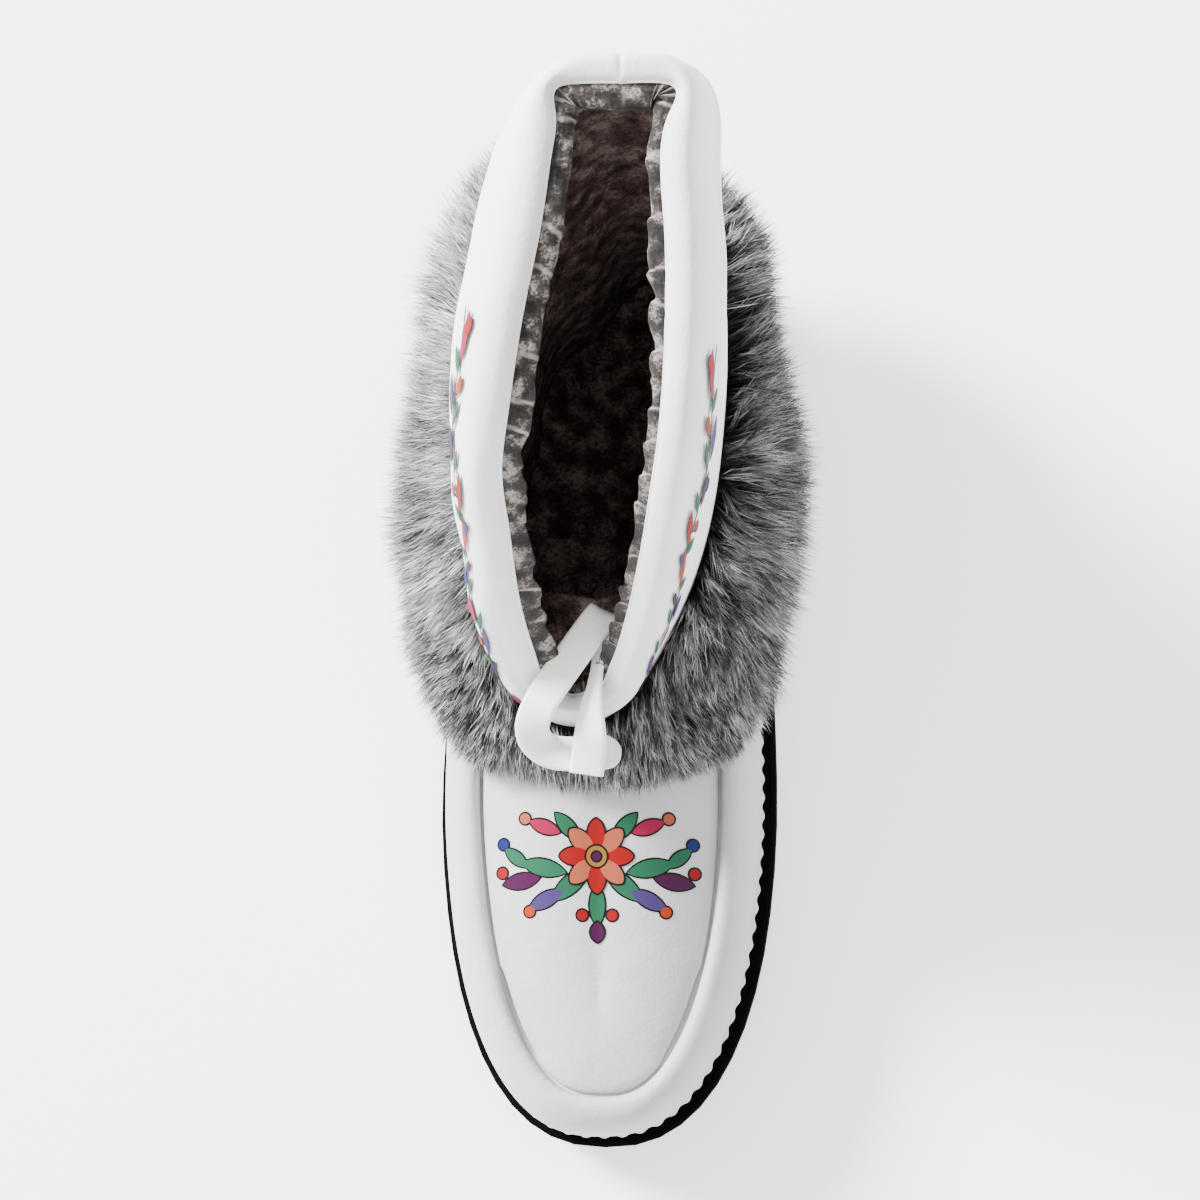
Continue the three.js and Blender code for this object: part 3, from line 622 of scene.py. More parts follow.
shares = np.concatenate([[0, 0, 0.008, 0.02, 0.04], np.linspace(0.07, 1, 40)])
sinks = np.concatenate([[3.2, 1.5, 0.55, 0.15, 0], np.zeros(40)])
apron = np.array([crowned(seam_line, ridge(apron_angles), s, d) for s, d in zip(shares, sinks)])
apron[5:, :, 2] += swell(apron[5:], 26, 5) * 0.35
apron = apron[:, np.all(apron[..., 1] < APRON_BACK, axis=0)]
apron_leather = make_piece("apron_leather", *skin_grid(apron, around=False), FOOT_LEATHER_SHADED)
face_out(apron_leather, up=True)
soften = apron_leather.modifiers.new("soften", "SMOOTH")
soften.iterations = 90
group = apron_leather.vertex_groups.new(name="middle")
inner = [v.index for v in apron_leather.data.vertices
         if abs(v.co.x / MM) < SOFT_HALF and v.co.y / MM > SOFT_FRONT]
group.add(inner, 1.0, "ADD")
soften.vertex_group = "middle"
bpy.context.view_layer.objects.active = apron_leather
bpy.ops.object.modifier_apply(modifier="soften")
thicken(apron_leather, "hide", APRON_THICK, -1)
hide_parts("apron")
print("apron", len(apron_leather.data.polygons), "faces")

# %% [markdown]
# Between the wall and the sole runs a thin white strip with a scalloped edge, as pinking shears leave. The
# scallops are 5.8 mm apart. Each is a shallow round wave drawn by twelve points, and the strip's lip is
# rounded over in section.

# %% Scalloped edging
WELT_INSET, SCALLOP_PITCH, SCALLOP_DEPTH, SCALLOP_POINTS = 2.9, 5.8, 0.42, 12
fine = np.linspace(0, 2 * math.pi, 5761)
run = run_along(outline(fine, WELT_INSET + tuck(fine)))
scallops = round(run[-1] / SCALLOP_PITCH)
wave_at = np.arange(scallops * SCALLOP_POINTS)
turn = np.interp(wave_at * run[-1] / len(wave_at), run, fine)
wave = tuck(turn) - SCALLOP_DEPTH * np.cos(wave_at * 2 * math.pi / SCALLOP_POINTS)
SECTION = {"in": [4.2, 0.25, 0, 0.25, 4.2, 4.2], "up": [0.1, 0.1, 0.9, 1.75, 1.7, 0.9]}
strip = []
for inward, up in zip(SECTION["in"], SECTION["up"]):
    flat = outline(turn, WELT_INSET + wave * (1 if inward < 1 else 0) + inward)
    strip.append(np.concatenate([flat, (sole_top(flat[:, 1]) + GAP + up)[:, None]], 1))
scalloped_edge = make_piece("scalloped_edge", *skin_grid(np.array(strip), over=True), EDGING)
face_out(scalloped_edge)
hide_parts("welt")
print(scallops, "scallops")

# %% [markdown]
# The leather goes up the outside, over the rim and down the inside as one closed skin. At the back the
# pressed seam is a narrow groove. Slow swells, strongest half way down, keep the tube from looking turned
# on a lathe, and the leather buckles a little in front of the ankle.

# %% Shaft leather
c = columns
LEATHER = 2.2
BUCKLE, GROOVE_IN, GROOVE_DOWN = 0.5, 0.75, 0.8
rim_run = run_along(c["rim"])
whole = rim_run[-1] + np.linalg.norm(c["rim"][0] - c["rim"][-1])


def lip_in(run):
    """How far the lip reaches in. It opens out at the two back corners, where the plush bunches."""
    return LIP_IN - LIP_OPENS * bell(np.minimum(run, whole - run), CORNER, 6.5)


lip = lip_in(rim_run)
hidden = c["lean"] - LEATHER
outer_rows = [
    wall_ring(c, 0, 0), wall_ring(c, 0.3, 0), wall_ring(c, 0.62, 0), shaft_ring(c, c["lean"], c["drop"]),
    shaft_ring(c, c["lean"] * 0.9, c["drop"] * 0.6), shaft_ring(c, c["lean"] * 0.62, c["drop"] * 0.26),
    shaft_ring(c, c["lean"] * 0.3, 1.3), shaft_ring(c, 0, 0), shaft_ring(c, -lip * 0.7, 1.1),
    shaft_ring(c, -lip, 3.0),
]
inner_rows = [
    shaft_ring(c, 0.8 - lip, 4.4), shaft_ring(c, lerp(-lip, hidden, 0.5), c["drop"] * 0.3 + 4),
    shaft_ring(c, hidden, c["drop"] + 2), wall_ring(c, 0.62, LEATHER), wall_ring(c, 0.3, LEATHER),
    wall_ring(c, 0, LEATHER),
]
tube = rows_through(outer_rows + inner_rows, 5)
row_at = np.arange(len(tube)) / 5
flank = np.clip(1 - np.abs(row_at - 2.6) / 2.6, 0, 1)[:, None]
push = (swell(tube, 34, 11) * 0.9 + swell(tube, 13, 12) * 0.25) * flank
push = push + BUCKLE * flank * bell(turns, 1, 0.28)[None, :] * np.sin(tube[..., 2] / 4.2)
outside = np.where((row_at > 0.5) & (row_at < 9.5), 1, 0)[:, None]
groove = bell(np.minimum(turns, 2 - turns), 0, 0.0055)[None, :] * outside
tube[..., :2] += out_of_wall(c)[None] * (push - GROOVE_IN * groove)[..., None]
tube[..., 2] -= GROOVE_DOWN * groove * bell(row_at, 7.3, 1.6)[:, None]
shaft_leather = make_piece("shaft_leather", *skin_grid(tube, over=True), SHAFT_LEATHER)
face_out(shaft_leather)
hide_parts("upper")

# %% [markdown]
# Where the leather's lip ends, the hide is skived and turned, which leaves a fine bead all the way round.
# It is a curve with a round bevel, made into a mesh.

# %% Turned bead of the rim
bead_line = shaft_ring(c, -lip - 0.05, 3.3)
curve = bpy.data.curves.new("rim_bead", "CURVE")
curve.dimensions = "3D"
curve.bevel_depth = 0.5 * MM
curve.bevel_resolution = 2
spline = curve.splines.new("POLY")
spline.points.add(len(bead_line) - 1)
spline.points.foreach_set("co", np.concatenate([bead_line * MM, np.ones((len(bead_line), 1))], 1).ravel())
spline.use_cyclic_u = True
rim_bead = bpy.data.objects.new("rim_bead", curve)
bpy.context.collection.objects.link(rim_bead)
rim_bead.select_set(True)
bpy.context.view_layer.objects.active = rim_bead
bpy.ops.object.convert(target="MESH")
rim_bead.data.materials.append(EDGING)
bpy.ops.object.shade_smooth()
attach(rim_bead, "root")
print("bead", len(rim_bead.data.polygons), "faces")

# %% [markdown]
# The plush hem is longer than the rim that it is sewn to, so it puckers. Between creases 6 to 16 mm apart
# the strip rises slowly along the boot and drops at a tight fold, like a pleat pressed to one side. At the
# two back corners it bunches into close pleats. The creases slant, and many carry a painted highlight along
# their edge, which is kept as an attribute for the finish.

# %% Gathered hem
luck = np.random.default_rng(21)
folds = [0.0]
while folds[-1] < whole - 6:
    near = min(abs(folds[-1] - k) for k in (CORNER, whole - CORNER))
    across_back = min(folds[-1], whole - folds[-1]) < CORNER - 6
    if near < 8:
        folds.append(folds[-1] + luck.uniform(2.4, 4))
    else:
        folds.append(folds[-1] + (16 if across_back else luck.uniform(6, 16)))
folds = np.array(folds[:-1] + [whole])
depth = luck.uniform(0.6, 2.0, len(folds))
slant = luck.uniform(-3.5, 3.5, len(folds))
highlit = luck.random(len(folds)) > 0.3
HEM_POINTS = 760
HEM_REACH, SIDE_MORE, BACK_MORE, CORNER_MORE = 4.4, 1.1, 1.8, 2.0
PLEAT_IN, PLEAT_UP = 0.9, 1.1
hem_run = np.linspace(0, whole, HEM_POINTS, endpoint=False)
h = shaft_columns(np.interp(hem_run, np.append(rim_run, whole), np.append(turns, 2)))
from_back = np.minimum(hem_run, whole - hem_run)
back = 1 / (1 + np.exp((from_back - 14) / 2.0))
corner = bell(from_back, CORNER, 6)
h_lip = lip_in(hem_run)
wander = swell(h["rim"], 15, 33) * 1.2 + swell(h["rim"], 6, 34) * 1.3
hem_rows, hem_highlights = [], []
HEM_SIDE = {
    "in": [-1.6, 0.2, 0.5, 0.9, 1.0, 0.8, 0.3, -1.6],
    "down": [5.6, 4.0, 4.3, 5.4, 7.6, 11, 14, 13.5],
}
section = rows_through(np.stack([HEM_SIDE["in"], HEM_SIDE["down"]], -1), 4)
for step, (inward, down) in enumerate(section):
    q = min(step / 16, 1.0)
    shifted = hem_run + np.interp(hem_run, folds, slant) * (q - 0.5)
    k = np.clip(np.searchsorted(folds, shifted, "right") - 1, 0, len(folds) - 2)
    length = folds[k + 1] - folds[k]
    within = np.clip((shifted - folds[k]) / length, 0, 1)
    pleat = within ** 0.8 * (1 - np.exp(-(1 - within) * length / 0.7)) * depth[k]
    # A pale line just before each fold, on creases picked by chance, is a painted highlight.
    highlight_line = np.exp(-((1 - within) * length / 0.42 - 1.2) ** 2)
    side = -np.tanh(h["rim"][:, 1] / 8)
    reach = HEM_REACH + SIDE_MORE * side * (1 - back) + BACK_MORE * back + CORNER_MORE * corner
    reach = reach + wander * (1 - 0.8 * back)
    amount = np.sin(math.pi * min(step / 20, 1)) * (1 - 0.75 * back * (1 - corner))
    stand = -h_lip - (reach * inward if inward > 0.2 else inward)
    stand = stand - PLEAT_IN * pleat * amount * (inward > 0.2)
    hem_rows.append(shaft_ring(h, stand, down - PLEAT_UP * pleat * amount))
    hem_highlights.append(highlight_line * highlit[k] * min(depth[k].max(), 1) * amount)
hem_rows = np.array(hem_rows)
hem_rows[..., 2] += swell(hem_rows, 2.4, 31) * 0.35 * (np.arange(len(section)) > 3)[:, None]
gathered_hem = make_piece("gathered_hem", *skin_grid(hem_rows, over=True), HEM)
mark_points(gathered_hem, "crease_highlight", "FLOAT", "value", np.array(hem_highlights) * 0.8)
face_out(gathered_hem)
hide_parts("upper")
print(len(folds), "creases in the hem")

# %% [markdown]
# Below the hem, dark plush lines the shaft down to the footbed. The lining is loose, so it falls inwards
# low down on both sides of the heel and leaves a deep pointed valley at the back. In front it stops at
# the instep, where the lining of the foot takes over.

# %% Shaft lining
l_turns = np.linspace(0, 2, 300, endpoint=False)
n = shaft_columns(l_turns)
n_lip = lip_in(np.interp(l_turns, np.append(turns, 2), np.append(rim_run, whole)))
n_inside = n["lean"] - COLLAR_WALL
from_back = np.minimum(l_turns, 2 - l_turns)
fall = bell(from_back, 0.17, 0.11)
foot_end = lerp(32.0, 66.0, ease(np.clip((n["rim"][:, 0] - 96) / 26, 0, 1)))
foot_end = foot_end + np.clip(n["rim"][:, 0] - 126, 0, 40) * 0.5
low = [wall_ring(n, s, COLLAR_WALL + f * fall) for s, f in ((0.62, 4), (0.3, 7), (0.08, 10))]
floor = wall_ring(n, 0.0, COLLAR_WALL + 11 * fall)
floor[:, 2] = np.minimum(foot_end, floor[:, 2])
high = [shaft_ring(n, -n_lip - 0.6, 9), shaft_ring(n, lerp(-n_lip, n_inside, 0.5), n["drop"] * 0.5 + 5),
        shaft_ring(n, n_inside, n["drop"] + 4)]
lining_rows = rows_through(high + low + [floor], 5)
pleats = swell(lining_rows[3:] * [1, 1, 0.35], 12, 41) * 1.3
lining_rows[3:, :, :2] += pleats[..., None] * out_of_wall(n)
shaft_lining = make_piece("shaft_lining", *skin_grid(lining_rows[::-1]), LINING)
face_out(shaft_lining)
thicken(shaft_lining, "pile", 0.8, 0)
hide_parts("upper")

# %% [markdown]
# The foot's own lining follows the inside of the wall and apron as far back as the opening. It is a sheet
# of the same plush, given a little thickness.

# %% Foot lining
LINING_SIDE = {
    "inset": [8.6, 8.0, 8.2, 9.6, 12.4, 16.5, 21],
    "rise": [0.02, 0.25, 0.5, 0.69, 0.79, 0.83, 0.80],
}
LINING_UNDER = 5.2  # below the top of the foot
front_angles = np.linspace(-1.75, 1.75, 161)
rows = [foot_row(i, r, front_angles) for i, r in zip(LINING_SIDE["inset"], LINING_SIDE["rise"])]
top = rows[-1]
rows += [crowned(top, ridge(front_angles, LINING_UNDER), share) for share in (0.3, 0.65, 1.0)]
foot_lining = make_piece("foot_lining", *skin_grid(rows_through(rows, 3), around=False), LINING)
face_out(foot_lining)
thicken(foot_lining, "pile", 0.7, 0)
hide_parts("upper")

# %% [markdown]
# The cuff is long-haired fur sewn round the ankle. Its hide is a soft skirt from the shaft down over the
# top of the foot, and the same few stations that shape its solid shape it here, a little slimmer, so that
# the hair has room to stand.

# %% Hide under the fur
FUR_MIDDLE = np.array([0.0, 50.0])
FUR = {
    "turn": [0, 25, 36, 50, 70, 90, 117, 138, 150, 165, 180,
             195, 208, 221, 243, 270, 298, 318, 333, 346, 360],
    "reach": [83, 83, 76, 61, 54, 52.5, 55.5, 68, 83, 97, 101, 99, 85, 67, 53, 51.5, 57, 69, 82, 82, 83],
    "low": [68, 62, 57, 54, 52, 52, 52, 53, 53, 54, 54, 54, 53, 53, 52, 52, 53, 56, 62, 66, 68],
    "belly": [77, 72, 70, 70, 72, 74, 76, 78, 79, 80, 80, 80, 79, 78, 76, 74, 71, 70, 72, 75, 77],
    "high": [88, 90, 93, 98, 102, 106, 108, 110, 111, 112, 112,
             112, 111, 110, 108, 106, 101, 96, 91, 88, 88],
}
SKIRT = {"share": [0, 0.3, 0.65, 1, 1.35], "reach": [0.95, 1, 0.96, 0.8, 0.62]}
SKIRT_LOW, SKIRT_HIGH = -0.02, 1.35
FAR_OUT = 170  # a place outside everything, to look back at the boot from


def compass(turn):
    """The way out at a turn in degrees, counted from the toe towards the inner side."""
    return np.stack([np.sin(np.radians(turn)), -np.cos(np.radians(turn))], -1)


def fur_point(turn, share, slim=0.0):
    turn, share = np.broadcast_arrays(np.mod(turn, 360), share)
    at = lambda name: read(FUR, "turn", name, turn)
    low, belly, high = at("low"), at("belly"), at("high")
    heights = [low, lerp(low, belly, 0.6), lerp(belly, high, 0.45), high]
    height = np.where(share < 0.3, lerp(heights[0], heights[1], share / 0.3),
                      np.where(share < 0.65, lerp(heights[1], heights[2], (share - 0.3) / 0.35),
                               lerp(heights[2], heights[3], np.minimum(share - 0.65, 0.4) / 0.35)))
    reach = at("reach") * read(SKIRT, "share", "reach", share) - slim
    return np.concatenate([FUR_MIDDLE + compass(turn) * reach[..., None], height[..., None]], -1)


skins = [foot_wall.data, shaft_leather.data]
corners = [np.empty(len(m.vertices) * 3) for m in skins]
for m, co in zip(skins, corners):
    m.vertices.foreach_get("co", co)
corners = np.concatenate(corners).reshape(-1, 3)
under = [tuple(p.vertices) for p in foot_wall.data.polygons]
under += [tuple(i + len(foot_wall.data.vertices) for i in p.vertices) for p in shaft_leather.data.polygons]
boot_skin = BVHTree.FromPolygons([Vector(p) for p in corners], under)


def boot_reach(points):
    """Distance from the fur's middle to the boot's skin, level with each point."""
    way = unit(points[:, :2] - FUR_MIDDLE)
    start = np.concatenate([FUR_MIDDLE + way * FAR_OUT, points[:, 2:]], 1)
    reach = np.zeros(len(points))
    for j, (spot, w) in enumerate(zip(start, way)):
        hit = boot_skin.ray_cast(Vector(spot * MM), Vector((-w[0], -w[1], 0)), (FAR_OUT - 10) * MM)
        reach[j] = FAR_OUT - hit[3] / MM if hit[0] is not None else 0
    return reach


def outside_boot(points, sink):
    flat = points[:, :2] - FUR_MIDDLE
    far = np.linalg.norm(flat, axis=1)
    wanted = np.maximum(far, boot_reach(points) - sink)
    moved = points.copy()
    moved[:, :2] = FUR_MIDDLE + flat * (wanted / far)[:, None]
    return moved


hide_turns = np.linspace(0, 360, 240, endpoint=False)
skirt = [fur_point(hide_turns, s, 2.2) for s in np.linspace(0.02, SKIRT_HIGH, 30)]
inner_top, inner_low = fur_point(hide_turns, SKIRT_HIGH, 5.0), fur_point(hide_turns, 0.0, 9.0)
inner_top[:, 2] -= 5
hide = np.array([outside_boot(row, 1.0) for row in [inner_low] + skirt + [inner_top]])
fur_hide = make_piece("fur_hide", *skin_grid(hide, over=True), HIDE)
face_out(fur_hide)
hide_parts("fur_cuff")

# %% [markdown]
# Real fur lies in locks: hairs near each other lean together and their tips meet. A lock has a root, a way
# and a tone of its own. Its way starts out of the hide, bends down under its weight and is combed towards
# the toe. Tone drifts over the cuff in patches, black, grey and silver. It is paler on the outer side of
# the foot than on the inner, and palest at the cuff's lower edge behind the ankle.

# %% Locks
LOCKS = 7000
ROOT_DEPTH = 1.8
COMBED = [0, -0.22, -0.12]  # towards the toe and down
MIDDLE_TONE, PATCH_TONE, LOCK_TONE = 0.31, 0.22, 0.19  # tone, and how far patches and chance move it


def fur_frame(turn, share):
    """Places on the hide and the ways square to it."""
    root = fur_point(turn, share, ROOT_DEPTH)
    step = fur_point(turn + 0.5, share, ROOT_DEPTH) - root
    higher = fur_point(turn, np.minimum(share + 0.02, SKIRT_HIGH), ROOT_DEPTH)
    return root, unit(np.cross(step, higher - fur_point(turn, share - 0.02, ROOT_DEPTH)))


def scatter(luck, count):
    """Chance places, about evenly over the hide."""
    turn, share = luck.uniform(0, 360, count), luck.uniform(SKIRT_LOW, SKIRT_HIGH, count)
    kept = luck.random(count) < read(FUR, "turn", "reach", turn) / max(FUR["reach"])
    return turn[kept], share[kept]


luck = np.random.default_rng(90)
lock_turn, lock_share = scatter(luck, LOCKS * 2)
lock_root, lock_normal = fur_frame(lock_turn, lock_share)
outward = np.pad(compass(lock_turn), ((0, 0), (0, 1)))
lean_of = np.stack([swell(lock_root, 13, 200 + k) for k in (1, 2, 3)], -1)
lock_way = lock_normal * 0.45 + outward * 0.8 + COMBED + lean_of * 0.5
lock_way = lock_way + luck.normal(0, 0.2, lock_root.shape)
lock_way[:, 2] += 0.25 * lock_share
lock_way = unit(lock_way)
inner = 0.5 + 0.5 * np.tanh(lock_root[:, 0] / 20)
fringe = np.clip(1 - lock_share / 0.55, 0, 1)
patch = swell(lock_root, 14, 71) * 0.6 + swell(lock_root, 5, 72) * 0.4
rear = np.clip((lock_root[:, 1] - 45) / 60, 0, 1)
lock_tone = MIDDLE_TONE - 0.05 * inner + (0.12 + 0.36 * rear) * fringe + 0.14 * rear * (1 - inner)
lock_tone = lock_tone + PATCH_TONE * patch + luck.normal(0, LOCK_TONE, len(lock_root))
lock_tree = KDTree(len(lock_root))
for j, spot in enumerate(lock_root):
    lock_tree.insert(Vector(spot), j)
lock_tree.balance()
print(len(lock_root), "locks")

# %% [markdown]
# Each hair is a narrow ribbon of two segments and a point. It leaves the hide by itself, then joins the
# way of its lock. Hairs are planted by chance from a fixed seed, evenly over the hide, and any root that
# would fall inside the boot is left out. A hair is dark at its root and pale at its tip, and in front of
# the ankle it is shorter.

# %% Plant the hair
HAIR_STEPS, HAIR_HALF, ROOT_TO_TIP = (0.0, 0.38, 0.72, 1.0), (0.5, 0.42, 0.28), (-0.30, -0.10, 0.12, 0.30)
HAIR_SAG, FRONT_SHORTER = 0.14, 0.38
HAIRS = 34000
HAIR_SIZES = [(12.5, 0.5), (14, 0.4), (16, 0.34), (10.5, 0.5)]


def plant(name, count, seed, long, wide):
    luck = np.random.default_rng(seed)
    turn, share = scatter(luck, count * 3)
    enough = int(count * 1.3)
    root, normal = fur_frame(turn[:enough], share[:enough])
    bare = np.linalg.norm(root[:, :2] - FUR_MIDDLE, axis=1) > boot_reach(root) + 0.3
    root, normal = root[bare][:count], normal[bare][:count]
    count = len(root)
    own = np.array([lock_tree.find(Vector(p))[1] for p in root])
    ahead_of_foot = np.clip((12 - root[:, 1]) / 30, 0, 1)
    reach = long * luck.uniform(0.55, 1.05, count) * (1 + 0.2 * swell(root, 14, 207))
    reach = (reach * (1 - FRONT_SHORTER * ahead_of_foot))[:, None]
    way = unit(lock_way[own] + luck.normal(0, 0.10, (count, 3)))
    tip = lock_root[own] + way * reach * 1.15
    straight = root + way * reach
    end = lerp(straight, tip, luck.uniform(0.35, 0.8, count)[:, None])
    end[:, 2:] -= HAIR_SAG * reach
    first = root + (normal * 0.5 + way * 0.6) * reach * 0.42
    t = np.array(HAIR_STEPS)[None, :, None]
    spine = root[:, None] * (1 - t) ** 2 + 2 * first[:, None] * t * (1 - t) + end[:, None] * t ** 2
    side = unit(np.cross(way, luck.normal(0, 1, (count, 3))))
    half = side[:, None] * (wide * np.array(HAIR_HALF))[None, :, None]
    points = np.concatenate([spine[:, :3] - half, spine[:, :3] + half, spine[:, 3:]], 1)
    base = (np.arange(count) * 7)[:, None]  # seven points to a hair
    quads = np.concatenate([base + np.array(q) for q in ((0, 3, 4, 1), (1, 4, 5, 2))])
    faces = np.concatenate([quads[:, [0, 1, 2]], quads[:, [0, 2, 3]], base + np.array((2, 5, 6))])
    piece = make_piece(name, points.reshape(-1, 3), faces, HAIR)
    level = lock_tone[own] + luck.normal(0, 0.12, count)
    tone = np.clip(level[:, None] + np.array(ROOT_TO_TIP), 0.03, 1.0) ** 2.3
    tone = np.concatenate([tone[:, :3], tone[:, :3], tone[:, 3:]], 1).reshape(-1, 1)
    rgba = np.concatenate([tone, tone * 0.99, tone * 0.98, np.ones_like(tone)], 1)
    mark_points(piece, "hair_tone", "FLOAT_COLOR", "color", rgba)
    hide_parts("fur_cuff")
    print(name, count, "hairs,", len(faces), "triangles")


share_of_hair = 1.0
for i, (long, wide) in enumerate(HAIR_SIZES):
    plant("fur_hair_%d" % (i + 1), int(HAIRS * share_of_hair), 100 + 10 * i, long, wide)

# %% [markdown]
# The lace is one flat strip of felt, 10 mm wide. It lies across the throat, folds back over itself at the
# outer side, rises in a loop over the opening and comes down again to a cut end in front. Its middle line
# is listed, with the way its width lies.

# %% Felt lace
LACE_WIDTH, LACE_THICK, ROUND_TIP = 10.0, 1.4, 4.6
LACE = {
    "x": [8.4, 3, -5, -11.5, -15.6, -16.6, -13.4, -6.4, 1, 4.8, 5.8, 4.6, 2.6, 1.4, 0.4, -0.6, -1.4],
    "y": [-27.0, -28.2, -28.6, -28.2, -25.6, -21.2, -14.6, -5, 4.4,
          8.8, 9.0, 4.4, -5, -14, -22.4, -29, -34.6],
    "z": [92.0, 92.4, 92.8, 93.8, 97.2, 102.5, 108.8, 113.6, 118.2,
          119.6, 117.2, 114.0, 110.4, 108.2, 103.0, 97.4, 94.2],
    "across_x": [0.15, 0.05, 0, 0.15, 0.75, 0.98, 0.86, 0.84, 0.85,
                 0.9, 0.8, 0.5, 0.35, 0.5, 0.85, 0.98, 0.99],
    "across_y": [0.98, 0.99, 1, 0.98, 0.6, 0.05, -0.45, -0.52, -0.52,
                 -0.43, -0.3, -0.1, -0.05, -0.05, -0.08, -0.08, -0.1],
    "across_z": [0.05, 0.05, 0.05, 0.05, 0.12, 0.15, 0.1, 0.05, 0.03,
                 0, 0.35, 0.8, 0.9, 0.8, 0.45, 0.12, 0.05],
}
middle = rows_through(np.stack([LACE["x"], LACE["y"], LACE["z"]], -1), 9)
across = unit(rows_through(np.stack([LACE["across_x"], LACE["across_y"], LACE["across_z"]], -1), 9))
ahead_way = unit(np.gradient(middle, axis=0))
across = unit(across - ahead_way * np.sum(across * ahead_way, 1, keepdims=True))
face = np.cross(ahead_way, across)
lace_run = run_along(middle)
from_end = np.minimum(lace_run / ROUND_TIP, 1)
width = LACE_WIDTH * np.sqrt(np.maximum(1 - (1 - from_end) ** 2, 0.02))
PROFILE = np.array([(-0.5, 0), (-0.47, 0.38), (-0.38, 0.5), (0, 0.5), (0.38, 0.5), (0.47, 0.38),
                    (0.5, 0), (0.47, -0.38), (0.38, -0.5), (0, -0.5), (-0.38, -0.5), (-0.47, -0.38)])
strap = (middle[:, None] + across[:, None] * (PROFILE[None, :, :1] * width[:, None, None])
         + face[:, None] * (PROFILE[None, :, 1:] * LACE_THICK))
strap += swell(strap, 3.0, 61)[..., None] * 0.10
points, quads = skin_grid(strap)
caps = []
for ring_start, flip in ((0, 1), ((len(strap) - 1) * len(PROFILE), -1)):
    ring = np.arange(len(PROFILE)) + ring_start
    caps += [[ring[i], ring[i + 1], ring[10 - i], ring[11 - i]][::flip] for i in range(5)]
felt_lace = make_piece("felt_lace", points, np.concatenate([quads, np.array(caps)]), FELT)
face_out(felt_lace)
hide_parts("lace_bar", "lace_loop", "lace_end")
print("lace is", round(float(lace_run[-1])), "mm long")

# %% [markdown]
# The vamp carries a printed flower in flat bright inks with black outlines, in the manner of beadwork. The
# design is a plain one: a rosette with leaves and berries. Every shape is a disc of three rings that is
# stretched to a petal, leaf or berry and dropped on the leather, first the black outline and then the
# colour just over it.

# %% Shapes for the prints
INKS = {"red": "#DC1C2E", "magenta": "#8E1F82", "pink": "#E0458C", "salmon": "#EFA488", "orange": "#F07F1E",
        "yellow": "#DAB570", "green": "#5FAD8E", "lilac": "#8F7DB7", "blue": "#3B62B5", "black": "#15110F"}
DEEPEN, DARKEN = 1.75, 0.40  # so that the inks look as written once the bright light has paled them
INK_COLOURS = {name: [DARKEN * c ** DEEPEN for c in linear(code)[:3]] + [1.0] for name, code in INKS.items()}
AROUND = 28
INK_FILM, INK_ORDER = 0.10, 0.006  # lifts of a layer of ink, and of each shape over the one before


def leaf(middle, turn, long, wide, point=0.7):
    """A shape on the flat: pointed at both ends for a leaf, round for a berry."""
    t = np.linspace(0, 2 * math.pi, AROUND, endpoint=False)
    blunt = np.abs(np.sin(t)) ** (1 + point)
    rim = np.stack([np.cos(t) * long / 2, np.sign(np.sin(t)) * blunt * wide / 2], -1)
    rings = [np.zeros((1, 2))] + [rim * s for s in (0.35, 0.7, 1.0)]
    flat = np.concatenate(rings)
    s, c = math.sin(turn), math.cos(turn)
    return flat @ np.array([[c, s], [-s, c]]) + np.asarray(middle)


def disc_faces():
    ring = np.arange(AROUND)
    ahead_ring = (ring + 1) % AROUND
    faces = [[0, 1 + a, 1 + b] for a, b in zip(ring, ahead_ring)]
    for r in (0, 1):
        low_ring, high_ring = 1 + r * AROUND, 1 + (r + 1) * AROUND
        for a, b in zip(ring, ahead_ring):
            faces.append([low_ring + a, high_ring + a, high_ring + b])
            faces.append([low_ring + a, high_ring + b, low_ring + b])
    return np.array(faces)


DISC = disc_faces()


def print_on(name, shapes, lay, target, border, stand, from_above=False):
    """Lay each shape on the target's skin with an outline under it."""
    target.data.calc_loop_triangles()
    corners = [v.co for v in target.data.vertices]
    tree = BVHTree.FromPolygons(corners, [t.vertices for t in target.data.loop_triangles])
    points, faces, colours = [], [], []
    for k, (middle, turn, long, wide, point, ink, layer) in enumerate(shapes):
        for grow, tint, lift in ((border * 2, "black", INK_FILM / 2), (0.0, ink, INK_FILM)):
            rise = stand + lift + INK_FILM * layer + INK_ORDER * k
            flat = leaf(middle, turn, long + grow, wide + grow, point)
            faces.append(DISC + len(points))
            for p in lay(flat):
                near = tree.ray_cast(Vector(p * MM), Vector((0, 0, -1))) if from_above else (None,)
                spot, normal = (near if near[0] is not None else tree.find_nearest(Vector(p * MM)))[:2]
                points.append(np.array(spot + normal * rise * MM) / MM)
                colours.append(INK_COLOURS[tint])
    piece = make_piece(name, points, np.concatenate(faces), INK)
    mark_points(piece, "ink", "FLOAT_COLOR", "color", colours)
    print(name, len(shapes), "shapes")


# %% [markdown]
# The vamp's flower sits where the foot bends, 60 mm wide. Eight petals ring a yellow heart, and stems with
# paired leaves and berries spread from it to both sides and towards the toe.

